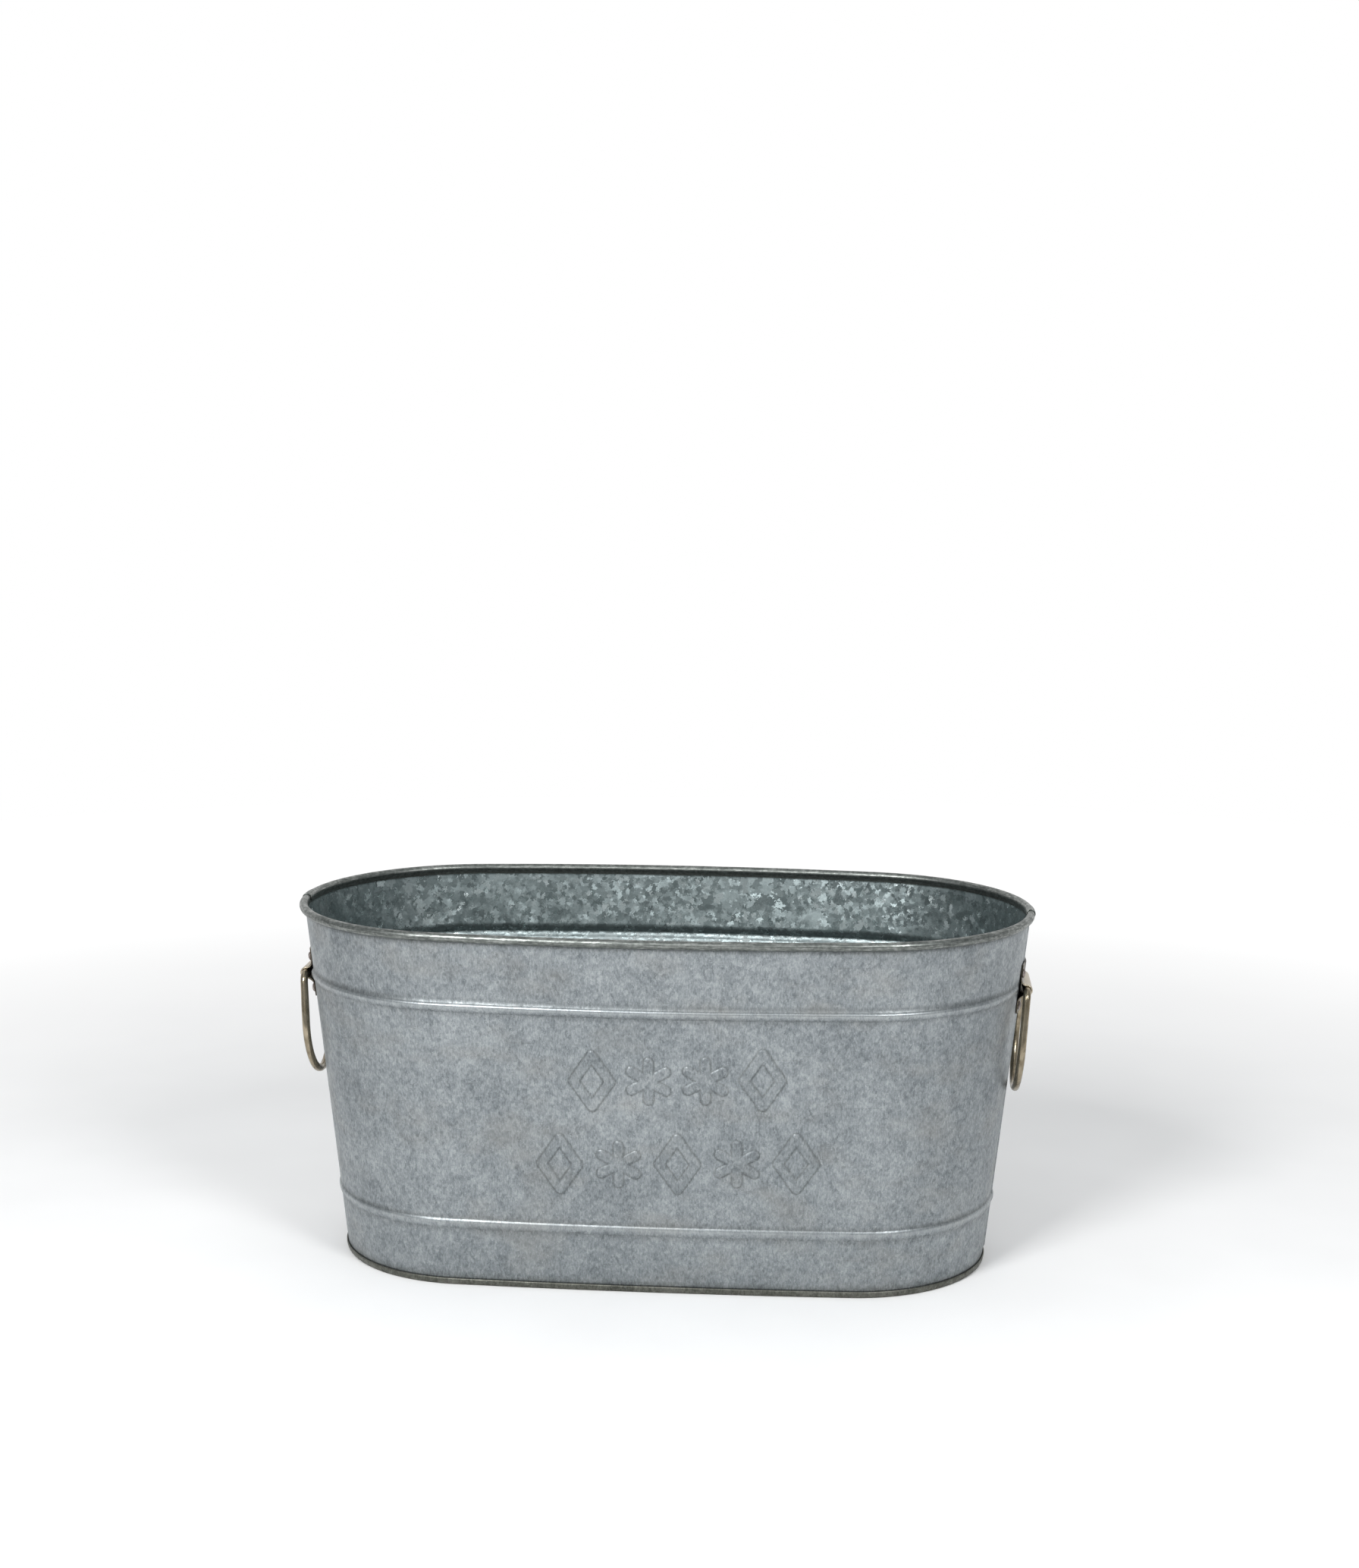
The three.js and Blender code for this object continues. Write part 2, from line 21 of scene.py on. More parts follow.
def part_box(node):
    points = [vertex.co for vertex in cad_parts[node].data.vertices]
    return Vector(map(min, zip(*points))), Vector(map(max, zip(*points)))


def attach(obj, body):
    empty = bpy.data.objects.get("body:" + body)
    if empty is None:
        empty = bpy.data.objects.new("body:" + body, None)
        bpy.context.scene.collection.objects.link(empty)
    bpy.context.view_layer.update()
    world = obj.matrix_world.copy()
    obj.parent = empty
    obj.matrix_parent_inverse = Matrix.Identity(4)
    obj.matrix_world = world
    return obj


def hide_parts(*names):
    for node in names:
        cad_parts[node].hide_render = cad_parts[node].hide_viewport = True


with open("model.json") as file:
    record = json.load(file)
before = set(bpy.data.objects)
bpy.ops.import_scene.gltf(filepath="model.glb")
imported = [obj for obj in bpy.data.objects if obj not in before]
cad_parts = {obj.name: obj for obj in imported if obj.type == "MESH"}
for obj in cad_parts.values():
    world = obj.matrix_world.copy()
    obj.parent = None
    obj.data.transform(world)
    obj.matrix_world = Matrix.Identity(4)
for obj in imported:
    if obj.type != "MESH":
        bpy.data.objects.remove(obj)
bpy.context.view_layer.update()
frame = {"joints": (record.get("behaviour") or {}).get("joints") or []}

log = logging.getLogger("tub")

MM = 0.001
PAIR = (("left", -1), ("right", 1))
Array = np.ndarray
Value = Union[float, Sequence[float], bpy.types.NodeSocket]
Size = tuple[float, float, float]


# ---------------------------------------------------------------------------
# Colour and nodes
# ---------------------------------------------------------------------------


def linear(hex_colour: str) -> tuple[float, float, float, float]:
    """Turns an sRGB hex colour into linear light.

    Args:
        hex_colour: six hex digits, with or without a leading hash.

    Returns:
        Red, green, blue and an alpha of one.
    """
    digits = hex_colour.lstrip("#")
    parts = [int(digits[i:i + 2], 16) / 255 for i in (0, 2, 4)]
    r, g, b = [
        c / 12.92 if c <= 0.04045 else ((c + 0.055) / 1.055) ** 2.4 for c in parts
    ]
    return r, g, b, 1.0


def add_node(
    tree: bpy.types.NodeTree,
    kind: str,
    inputs: Optional[dict[Union[str, int], Value]] = None,
    **settings: Any,
) -> bpy.types.Node:
    """Adds a node, with its settings, its fixed inputs and its links.

    Args:
        tree: the node tree to add to.
        kind: the node's type name without its "ShaderNode" prefix.
        inputs: for each input, a number or colour, or the output that feeds it.
        settings: properties of the node itself.

    Returns:
        The new node.
    """
    node = tree.nodes.new("ShaderNode" + kind)
    for name, value in settings.items():
        setattr(node, name, value)
    for name, value in (inputs or {}).items():
        if isinstance(value, bpy.types.NodeSocket):
            tree.links.new(value, node.inputs[name])
        else:
            node.inputs[name].default_value = value
    return node


class Pattern:
    """A material in the making: fields over its object's coordinates, sized in millimetres."""

    def __init__(self, name: str) -> None:
        """Starts an empty material.

        Args:
            name: the real material and the way its surface was made.
        """
        self.material = bpy.data.materials.new(name)
        self.material.use_nodes = True
        self.tree = self.material.node_tree
        self.tree.nodes.clear()
        self.place = add_node(self.tree, "TexCoord").outputs["Object"]

    def stretched(self, size: Size) -> bpy.types.NodeSocket:
        """Coordinates divided by a size in millimetres along each axis.

        Args:
            size: the size along X, Y and Z.

        Returns:
            The scaled coordinates' socket.
        """
        return add_node(
            self.tree, "VectorMath", {0: self.place, 1: [1 / (s * MM) for s in size]},
            operation="MULTIPLY",
        ).outputs[0]

    def cloud(
        self,
        size: Size,
        detail: float = 3.0,
        roughness: float = 0.5,
        low: float = 0.35,
        high: float = 0.65,
    ) -> bpy.types.NodeSocket:
        """Soft noise from nought to one.

        Args:
            size: the blotch size in millimetres along X, Y and Z.
            detail: how many finer layers are added.
            roughness: how strong the finer layers are.
            low: the raw value that becomes nought.
            high: the raw value that becomes one.

        Returns:
            The field's socket.
        """
        raw = add_node(
            self.tree, "TexNoise",
            {"Vector": self.stretched(size), "Scale": 1.0, "Detail": detail,
             "Roughness": roughness},
        ).outputs[0]
        return add_node(self.tree, "MapRange", {0: raw, 1: low, 2: high}).outputs[0]

    def crystals(
        self, size: float, ragged: float, draw: float = 1.0
    ) -> bpy.types.NodeSocket:
        """Zinc crystals: cells with ragged edges, each with a colour of its own.

        Args:
            size: a crystal's width in millimetres.
            ragged: how far its edges wander, as a share of its size.
            draw: how many times taller than wide it is.

        Returns:
            One random colour for each crystal.
        """
        drift = add_node(
            self.tree, "TexNoise",
            {"Vector": self.stretched((size * 0.42,) * 3), "Scale": 1.0, "Detail": 2.0},
        ).outputs[1]
        centred = add_node(
            self.tree, "VectorMath", {0: drift, 1: (0.5,) * 3}, operation="SUBTRACT"
        ).outputs[0]
        shifted = add_node(
            self.tree, "VectorMath",
            {0: centred, 1: (ragged,) * 3, 2: self.stretched((size, size, size * draw))},
            operation="MULTIPLY_ADD",
        ).outputs[0]
        return add_node(
            self.tree, "TexVoronoi", {"Vector": shifted, "Scale": 1.0}
        ).outputs["Color"]

    def weighted(self, *parts: tuple[Value, Value], base: Value = 0.0) -> Value:
        """Adds fields up, each at its own strength.

        Args:
            parts: pairs of a field and its strength.
            base: what the sum starts from.

        Returns:
            The sum's socket.
        """
        total = base
        for field_value, strength in parts:
            total = add_node(
                self.tree, "Math", {0: field_value, 1: strength, 2: total},
                operation="MULTIPLY_ADD",
            ).outputs[0]
        return total

    def graded(self, tone: Value, *stops: tuple[float, str]) -> Value:
        """Passes from colour to colour as a tone rises.

        Args:
            tone: the field that picks the colour.
            stops: pairs of a tone and the hex colour it has, in rising order.

        Returns:
            The colour's socket.
        """
        colour = linear(stops[0][1])
        for (low, _), (high, hex_colour) in zip(stops, stops[1:]):
            share = add_node(self.tree, "MapRange", {0: tone, 1: low, 2: high}).outputs[0]
            colour = add_node(
                self.tree, "Mix", {0: share, 6: colour, 7: linear(hex_colour)}, data_type="RGBA"
            ).outputs[2]
        return colour

    def tinted(
        self, colour: Value, hex_colour: str, where: Value, strength: Value = 1.0
    ) -> bpy.types.NodeSocket:
        """Lays a second colour over the first where a field is strong.

        Args:
            colour: the colour underneath.
            hex_colour: the colour on top.
            where: the field, from nought to one.
            strength: how much of the top colour shows where the field is one.

        Returns:
            The colour's socket.
        """
        share = self.weighted((where, strength))
        return add_node(
            self.tree, "Mix", {0: share, 6: colour, 7: linear(hex_colour)}, data_type="RGBA"
        ).outputs[2]

    def tilted(self, cell_colour: Value, amount: float) -> bpy.types.NodeSocket:
        """The surface normal, leaned a little one way in each crystal.

        Args:
            cell_colour: one random colour for each crystal.
            amount: how far the normals lean.

        Returns:
            The normal's socket.
        """
        lean = add_node(
            self.tree, "VectorMath", {0: cell_colour, 1: (0.5,) * 3}, operation="SUBTRACT"
        ).outputs[0]
        normal = add_node(self.tree, "NewGeometry").outputs["Normal"]
        leaned = add_node(
            self.tree, "VectorMath", {0: lean, 1: (amount,) * 3, 2: normal},
            operation="MULTIPLY_ADD",
        ).outputs[0]
        return add_node(
            self.tree, "VectorMath", {0: leaned}, operation="NORMALIZE"
        ).outputs[0]

    def shade(
        self,
        colour: Value,
        tone: Value,
        span: tuple[float, float],
        roughness: tuple[float, float],
        height: Value,
        relief: float,
        metallic: float = 1.0,
        duller: Sequence[tuple[Value, float]] = (),
        normal: Optional[bpy.types.NodeSocket] = None,
    ) -> bpy.types.Material:
        """Ends the material in a metal shader.

        Args:
            colour: the metal's own colour.
            tone: the field that the roughness follows, smoother where it is light.
            span: the tones at which the roughness reaches its two ends.
            roughness: the smoothest and the dullest value.
            height: fine relief from nought to one.
            relief: the real height of that relief, in metres.
            metallic: how much of the surface is bare metal.
            duller: fields that add to the roughness and by how much.
            normal: the normal that the relief is laid over.

        Returns:
            The finished material.
        """
        smooth, dull = roughness
        rough = add_node(
            self.tree, "MapRange", {0: tone, 1: span[0], 2: span[1], 3: dull, 4: smooth}
        ).outputs[0]
        inputs = {"Height": height, "Strength": 1.0, "Distance": relief}
        if normal is not None:
            inputs["Normal"] = normal
        bump = add_node(self.tree, "Bump", inputs)
        shader = add_node(
            self.tree, "BsdfPrincipled",
            {"Base Color": colour, "Roughness": self.weighted(*duller, base=rough),
             "Metallic": metallic, "Normal": bump.outputs[0]},
        )
        add_node(self.tree, "OutputMaterial", {"Surface": shader.outputs[0]})
        return self.material


# ---------------------------------------------------------------------------
# Finishes
# ---------------------------------------------------------------------------


@dataclass(frozen=True)
class WeatheredZinc:
    """Hot-dip galvanised sheet, outer side, gone dull.

    Zinc left to weather grows a thin matt film, so reflections are broad and
    soft. The film is finely mottled and drawn out up and down by the rollers,
    with faint blue-grey clouds, pale flecks and a few level scuffs. Sizes are
    in millimetres along X, Y and Z.
    """

    name: str = "galvanised_steel_weathered"
    light: str = "#AAAFB1"
    middle: str = "#8E9497"
    dark: str = "#70767A"
    warm: str = "#8F8D88"
    # colour of the painted shade
    painted_shade: str = "#3C3D38"
    pale: str = "#C3C9CA"
    scuffed: str = "#54584F"
    # lighter colour on the bead crests: rubbed zinc and a painted highlight
    rubbed: str = "#C6CACA"
    grain: Size = (1.2, 1.2, 2.76)  # coarser than the film's own grain, which wouldn't show
    flake: float = 2.6
    cloud: Size = (15.0, 15.0, 19.5)
    broad: Size = (95.0, 95.0, 75.0)
    brown: Size = (60.0, 60.0, 34.0)
    fleck: Size = (1.1, 1.1, 1.5)
    scuff: Size = (60.0, 60.0, 1.2)
    grain_relief: float = 0.02 * MM  # metres
    roughness: tuple[float, float] = (0.38, 0.54)
    metallic: float = 0.88

    def make(self) -> bpy.types.Material:
        """Builds the material.

        Returns:
            The material.
        """
        p = Pattern(self.name)
        grain = p.cloud(self.grain, 4.0, 0.6, 0.32, 0.68)
        cells = p.crystals(self.flake, 1.6, 1.35)
        flake = add_node(p.tree, "SeparateColor", {0: cells}).outputs[0]
        cloud = p.cloud(self.cloud, 4.0, 0.62, 0.36, 0.64)
        broad = p.cloud(self.broad, 2.0)
        tone = p.weighted((grain, 0.42), (flake, 0.28), (cloud, 0.18), (broad, 0.12))
        colour = p.graded(tone, (0.15, self.dark), (0.5, self.middle), (0.88, self.light))
        colour = p.tinted(colour, self.warm, p.cloud(self.brown, 3.0, 0.6, 0.5, 0.75), 0.4)
        colour = p.tinted(colour, self.pale, p.cloud(self.fleck, 1.0, 0.5, 0.68, 0.75), 0.36)
        colour = p.tinted(colour, self.scuffed, p.cloud(self.scuff, 3.0, 0.6, 0.65, 0.75), 0.3)
        # Bead crests lighter: partly real rubbing, partly a painted highlight.
        polish_and_painted_highlight = add_node(p.tree, "Attribute", attribute_name="polish_and_painted_highlight").outputs["Fac"]
        colour = p.tinted(colour, self.rubbed, polish_and_painted_highlight, 0.2)
        # Painted shade from the wall's mask, a little lighter where the grain is light.
        painted_shade = add_node(p.tree, "Attribute", attribute_name="painted_shade").outputs["Fac"]
        colour = p.tinted(colour, self.painted_shade, painted_shade, p.weighted((grain, -0.3), base=1.0))
        return p.shade(colour, tone, (0.2, 0.9), self.roughness, grain, self.grain_relief,
                       self.metallic, [(polish_and_painted_highlight, -0.14)])


@dataclass(frozen=True)
class SpangledZinc:
    """Hot-dip galvanised sheet, inner side, with its spangle still showing.

    The zinc froze in flat crystals up to a thumbnail across. Each one mirrors
    the light at its own angle, so neighbours differ in tone with crisp, ragged
    borders between them. Sizes are in millimetres.
    """

    name: str = "galvanised_steel_spangled"
    light: str = "#CBD5D5"
    middle: str = "#8D9899"
    dark: str = "#697273"
    # colour of the painted shade on the inner side
    painted_shade: str = "#3A4242"
    crystal: float = 6.8
    small_crystal: float = 3.4
    patch: Size = (40.0, 40.0, 30.0)  # how far the large or the small crystals reach
    grain: Size = (2.0, 2.0, 2.4)
    grain_relief: float = 0.012 * MM  # metres
    tilt: float = 0.21
    roughness: tuple[float, float] = (0.25, 0.46)
    metallic: float = 0.95

    def make(self) -> bpy.types.Material:
        """Builds the material.

        Returns:
            The material.
        """
        p = Pattern(self.name)
        large = p.crystals(self.crystal, 1.9)
        small = p.crystals(self.small_crystal, 1.7)
        patch = p.cloud(self.patch, 2.0, 0.5, 0.47, 0.53)
        cell = add_node(
            p.tree, "Mix", {0: patch, 6: large, 7: small}, data_type="RGBA"
        ).outputs[2]
        pick = add_node(p.tree, "SeparateColor", {0: cell}).outputs[0]
        grain = p.cloud(self.grain, 3.0, 0.6, 0.3, 0.7)
        bright = add_node(p.tree, "MapRange", {0: pick, 1: 0.74, 2: 0.96}).outputs[0]
        deep = add_node(p.tree, "MapRange", {0: pick, 1: 0.24, 2: 0.04}).outputs[0]
        tone = p.weighted((pick, 0.16), (grain, 0.18), (bright, 0.42), (deep, -0.2), base=0.3)
        colour = p.graded(tone, (0.1, self.dark), (0.47, self.middle), (0.95, self.light))
        # Painted shade from the wall's and the pan's mask.
        painted_shade = add_node(p.tree, "Attribute", attribute_name="painted_shade").outputs["Fac"]
        colour = p.tinted(colour, self.painted_shade, painted_shade, 0.25)
        return p.shade(colour, tone, (0.1, 0.9), self.roughness, grain, self.grain_relief,
                       self.metallic, normal=p.tilted(cell, self.tilt))


@dataclass(frozen=True)
class RolledZinc:
    """Galvanised sheet curled over a wire and rubbed by the rolling tool.

    Rolling burnishes the zinc, so it is warmer and glossier than the flat
    sheet, with streaks that run round the rim and dull marks where it cracked.
    Sizes are in millimetres along X, Y and Z.
    """

    name: str = "galvanised_steel_rolled"
    light: str = "#9A9D9A"
    middle: str = "#737774"
    dark: str = "#535755"
    # colour of the painted shade
    painted_shade: str = "#4A4942"
    streak: Size = (14.0, 14.0, 0.8)
    mottle: Size = (3.2, 3.2, 2.2)
    relief: float = 0.03 * MM  # metres
    roughness: tuple[float, float] = (0.30, 0.46)
    metallic: float = 0.95

    def make(self) -> bpy.types.Material:
        """Builds the material.

        Returns:
            The material.
        """
        p = Pattern(self.name)
        streak = p.cloud(self.streak, 3.0, 0.6, 0.34, 0.66)
        mottle = p.cloud(self.mottle, 3.0, 0.6, 0.32, 0.68)
        tone = p.weighted((streak, 0.5), (mottle, 0.5))
        colour = p.graded(tone, (0.1, self.dark), (0.5, self.middle), (0.9, self.light))
        # Painted shade from the wall's mask.
        painted_shade = add_node(p.tree, "Attribute", attribute_name="painted_shade").outputs["Fac"]
        colour = p.tinted(colour, self.painted_shade, painted_shade)
        return p.shade(colour, tone, (0.1, 0.9), self.roughness, mottle, self.relief,
                       self.metallic)


@dataclass(frozen=True)
class HandledNickel:
    """Nickel-plated steel, rolled or drawn, worn by hands.

    The plate is semi-bright and has gone warm and brownish. It mirrors the
    studio clearly, with fine rubbing marks and small dull patches. Sizes are
    in millimetres along X, Y and Z.
    """

    name: str
    light: str = "#ADA28D"
    dark: str = "#756B58"
    stain: str = "#453E33"
    # lightened colour on the strap's knuckle: rubbing by the ring and a painted highlight
    bright: str = "#C6BBA6"
    mark: Size = (2.2, 2.2, 7.7)  # coarser than real rubbing marks, which wouldn't show
    patch: Size = (13.0, 13.0, 17.0)
    spot: Size = (5.0, 5.0, 8.0)
    mark_relief: float = 0.006 * MM  # metres
    roughness: tuple[float, float] = (0.17, 0.30)

    def make(self) -> bpy.types.Material:
        """Builds the material.

        Returns:
            The material.
        """
        p = Pattern(self.name)
        rub = p.cloud(self.mark, 4.0, 0.6)
        patch = p.cloud(self.patch, 3.0, 0.6, 0.4, 0.62)
        spot = p.cloud(self.spot, 3.0, 0.65, 0.58, 0.74)
        tone = p.weighted((rub, 0.35), (patch, 0.65))
        colour = p.graded(tone, (0.0, self.dark), (1.0, self.light))
        colour = p.tinted(colour, self.stain, spot, 0.45)
        # The knuckle lightened: partly rubbing by the ring, partly a painted highlight against the
        # painted dark leaves.
        polish_and_painted_highlight = add_node(p.tree, "Attribute", attribute_name="polish_and_painted_highlight").outputs["Fac"]
        colour = p.tinted(colour, self.bright, polish_and_painted_highlight, 0.8)
        return p.shade(colour, tone, (0.0, 1.0), self.roughness, rub, self.mark_relief,
                       duller=[(spot, 0.12)])


@dataclass(frozen=True)
class UpsetSteel:
    """Soft steel, cold-headed as a rivet or drawn as wire, thinly zinc-washed.

    Heading leaves a faintly dimpled, satin face; the wash is pinkish grey and
    darker in the hollows. Sizes are in millimetres along X, Y and Z.
    """

    name: str
    light: str = "#A89D98"
    dark: str = "#6F6663"
    dimple: Size = (1.3, 1.3, 1.3)
    patch: Size = (4.0, 4.0, 4.0)
    dimple_relief: float = 0.02 * MM  # metres
    roughness: tuple[float, float] = (0.34, 0.5)

    def make(self) -> bpy.types.Material:
        """Builds the material.

        Returns:
            The material.
        """
        p = Pattern(self.name)
        dimple = p.cloud(self.dimple, 3.0, 0.6, 0.3, 0.7)
        patch = p.cloud(self.patch, 2.0, 0.5, 0.36, 0.64)
        tone = p.weighted((dimple, 0.45), (patch, 0.55))
        colour = p.graded(tone, (0.0, self.dark), (1.0, self.light))
        return p.shade(colour, tone, (0.0, 1.0), self.roughness, dimple, self.dimple_relief)


# ---------------------------------------------------------------------------
# The oval
# ---------------------------------------------------------------------------


@dataclass(frozen=True)
class Columns:
    """Places round the oval, as equal-length arrays, one entry for each column.

    side is -1 or 1 on a rounded end and 0 on a long side. turn is the angle
    from the end's middle in radians, negative toward the front. along runs from
    -1 to 1 over a long side. face is -1 on the front half and 1 on the back.
    """

    side: Array
    turn: Array
    along: Array
    face: Array

    def __len__(self) -> int:
        """How many columns there are."""
        return len(self.side)


@dataclass(frozen=True)
class OvalPlan:
    """Four-centre oval: two tight end arcs joined by two shallow side arcs."""

    length: float
    width: float
    height: float
    bow_rim: float = 9 * MM
    bow_ground: float = 3 * MM
    flare: float = 29 * MM
    roll_radius: float = 3.2 * MM
    roll_inset: float = 1.8 * MM

    @property
    def bend_z(self) -> float:
        """Height where the wall ends and the curl begins."""
        return self.height - 2 * self.roll_radius

    @property
    def roll_z(self) -> float:
        """Height of the middle of the curl."""
        return self.height - self.roll_radius

    @property
    def roll_shift(self) -> float:
        """How far outside the wall's outer face the middle of the curl is."""
        return self.roll_radius - self.roll_inset

    @property
    def radius_top(self) -> float:
        """End radius of the wall's outer face at the top."""
        return self.width / 2 - self.roll_shift - self.roll_radius - self.bow_rim

    @property
    def half_straight(self) -> float:
        """Distance from the middle to the centre of an end arc."""
        return self.length / 2 - self.roll_shift - self.roll_radius - self.radius_top

    @property
    def slope(self) -> float:
        """How fast the end radius grows with height."""
        return self.flare / self.bend_z

    def wall_radius(self, z: Array) -> Array:
        """End radius of the wall's outer face at a height."""
        return self.radius_top - self.slope * (self.bend_z - np.minimum(z, self.bend_z))

    def points(self, columns: Columns, out: Array, z: Array) -> Array:
        """Places on the oval.

        Args:
            columns: one entry for each column.
            out: metres outside the wall's outer face, columns by rows.
            z: heights, columns by rows.

        Returns:
            Coordinates, columns by rows by three.
        """
        side, turn, along, face = [
            np.asarray(a, float)[:, None]
            for a in (columns.side, columns.turn, columns.along, columns.face)
        ]
        share = np.clip(z / self.bend_z, 0, 1)
        bow = self.bow_ground + (self.bow_rim - self.bow_ground) * share
        beta = 2 * np.arctan(bow / self.half_straight)
        r = self.wall_radius(z) + out
        free, quarter = math.radians(55), math.pi / 2
        limit = quarter - beta
        size = np.abs(turn)
        squeezed = free + (size - free) * (limit - free) / (quarter - free)
        a = np.sign(turn) * np.where(size > free, squeezed, size)
        end_x = side * (self.half_straight + r * np.cos(a))
        end_y = r * np.sin(a)
        reach = r + self.half_straight / np.sin(beta)
        b = along * beta
        long_x = reach * np.sin(b)
        long_y = face * (reach * np.cos(b) - self.half_straight / np.tan(beta))
        on_end = side != 0
        return np.stack(
            [np.where(on_end, end_x, long_x), np.where(on_end, end_y, long_y),
             np.broadcast_to(z, r.shape)], axis=-1,
        )

    def end_x(self, y: float, z: float) -> float:
        """X of the right end wall's outer face at a y and height."""
        r = float(self.wall_radius(np.float64(z)))
        return self.half_straight + math.sqrt(r * r - y * y)


def spaced(*stops: tuple[float, float]) -> Array:
    """Numbers from stop to stop, each stretch at its own spacing.

    Args:
        stops: pairs of a value and the spacing that leads to the next value.

    Returns:
        The numbers, in order, ends included.
    """
    parts = []
    for (a, step), (b, _) in zip(stops, stops[1:]):
        n = max(1, round(abs(b - a) / step))
        parts.append(np.linspace(a, b, n + 1)[:-1])
    return np.concatenate(parts + [[stops[-1][0]]])


def ease(share: Array) -> Array:
    """A share held between nought and one, with a gentle start and end."""
    t = np.clip(share, 0, 1)
    return t * t * (3 - 2 * t)


def hump(distance: Array, width: float) -> Array:
    """One where a distance is nought, falling away smoothly over a width."""
    return np.exp(-(distance / width) ** 2)


# ---------------------------------------------------------------------------
# Meshes
# ---------------------------------------------------------------------------


def link_mesh(name: str, mesh: bpy.types.Mesh) -> bpy.types.Object:
    """Puts a mesh in the scene as an object.

    Args:
        name: the object's name.
        mesh: its mesh.

    Returns:
        The object.
    """
    obj = bpy.data.objects.new(name, mesh)
    bpy.context.scene.collection.objects.link(obj)
    return obj


def grid_faces(rows: int, columns: int, wrap_columns: bool = False,
               wrap_rows: bool = False) -> Array:
    """Quads of a grid whose vertices run row by row inside each column.

    Args:
        rows: vertices in a column.
        columns: how many columns.
        wrap_columns: whether the last column joins the first.
        wrap_rows: whether the last row joins the first.

    Returns:
        Vertex numbers, cells by four.
    """
    i = np.arange(columns if wrap_columns else columns - 1)
    j = np.arange(rows if wrap_rows else rows - 1)
    i, j = np.meshgrid(i, j, indexing="ij")
    i1, j1 = (i + 1) % columns, (j + 1) % rows
    return np.stack([i * rows + j, i1 * rows + j, i1 * rows + j1, i * rows + j1],
                    axis=-1).reshape(-1, 4)


def mesh_from(name: str, points: Array, faces: Array, smooth_below: float = 40.0,
              flip: bool = False) -> bpy.types.Object:
    """Makes an object from vertices and quads.

    Args:
        name: the piece's name.
        points: coordinates, any leading shape by three.
        faces: vertex numbers, cells by four.
        smooth_below: edges sharper than this many degrees stay sharp.
        flip: whether the faces are turned over.

    Returns:
        The object.
    """
    mesh = bpy.data.meshes.new(name)
    order = faces[:, ::-1] if flip else faces
    mesh.from_pydata(points.reshape(-1, 3).tolist(), [], order.tolist())
    mesh.update()
    mesh.shade_smooth()
    mesh.set_sharp_from_angle(angle=math.radians(smooth_below))
    return link_mesh(name, mesh)


def store(obj: bpy.types.Object, name: str, values: Array) -> None:
    """Keeps one number on each vertex for the materials to read."""
    layer = obj.data.attributes.new(name, "FLOAT", "POINT")
    layer.data.foreach_set("value", np.asarray(values, np.float32).ravel())


def thicken(obj: bpy.types.Object, sheet: float, inner: int = 0, rim: int = 0,
            even: bool = True) -> None:
    """Gives a middle surface the thickness of its sheet.

    Args:
        obj: the middle surface.
        sheet: its thickness.
        inner: how much is added to a face's material number on the far side.
        rim: and along the cut edges.
        even: whether corners are drawn out to keep the thickness there.
    """
    solid = obj.modifiers.new("sheet", "SOLIDIFY")
    solid.thickness = sheet
    solid.offset = 0.0
    solid.use_even_offset = even
    solid.thickness_clamp = 0.0
    solid.material_offset = inner
    solid.material_offset_rim = rim


def soften(obj: bpy.types.Object, width: float, segments: int = 2) -> None:
    """Rounds the sharp edges of a piece.

    Args:
        obj: the piece.
        width: how far the rounding reaches from an edge.
        segments: how many steps it has.
    """
    bevel = obj.modifiers.new("edges", "BEVEL")
    bevel.width = width
    bevel.segments = segments
    bevel.limit_method = "ANGLE"
    bevel.angle_limit = math.radians(50)
    bevel.harden_normals = False


def wander(points: Array, size: float, seed: float) -> Array:
    """Smooth noise from about -1 to 1 at each point.

    Args:
        points: coordinates, any leading shape by three.
        size: how far apart the swells are, in metres.
        seed: which field to draw from.

    Returns:
        The values, in the points' leading shape.
    """
    shape = points.shape[:-1]
    flat = points.reshape(-1, 3) / size
    values = [noise.noise(Vector((x, y, z + seed))) for x, y, z in flat.tolist()]
    return np.array(values).reshape(shape) * 1.6


def tube(name: str, line: Array, radius: Callable[[Array], Array],
         around: int = 24) -> bpy.types.Object:
    """A closed loop of round wire.

    Args:
        name: the piece's name.
        line: its middle line, points by three, the last one joining the first.
        radius: the wire's radius for each share of the way round.
        around: how many sides the wire has.

    Returns:
        The object.
    """
    n = len(line)
    ahead = np.roll(line, -1, axis=0) - np.roll(line, 1, axis=0)
    tangent = ahead / np.linalg.norm(ahead, axis=1, keepdims=True)
    centre = line.mean(axis=0)
    plane = np.cross(line[0] - centre, line[n // 4] - centre)
    plane /= np.linalg.norm(plane)
    outward = np.cross(tangent, plane)
    outward /= np.linalg.norm(outward, axis=1, keepdims=True)
    upward = np.cross(outward, tangent)
    a = np.linspace(0, 2 * math.pi, around, endpoint=False)
    r = radius(np.arange(n) / n)[:, None, None]
    ring = (outward[:, None] * np.cos(a)[None, :, None]
            + upward[:, None] * np.sin(a)[None, :, None])
    faces = grid_faces(around, n, wrap_columns=True, wrap_rows=True)
    obj = mesh_from(name, line[:, None] + ring * r, faces)
    turn_outward(obj)
    return obj


def turn_outward(obj: bpy.types.Object) -> None:
    """Makes the faces of a closed mesh look outward.

    Args:
        obj: the object whose mesh is changed.
    """
    bm = bmesh.new()
    bm.from_mesh(obj.data)
    bmesh.ops.recalc_face_normals(bm, faces=bm.faces)
    bm.to_mesh(obj.data)
    bm.free()


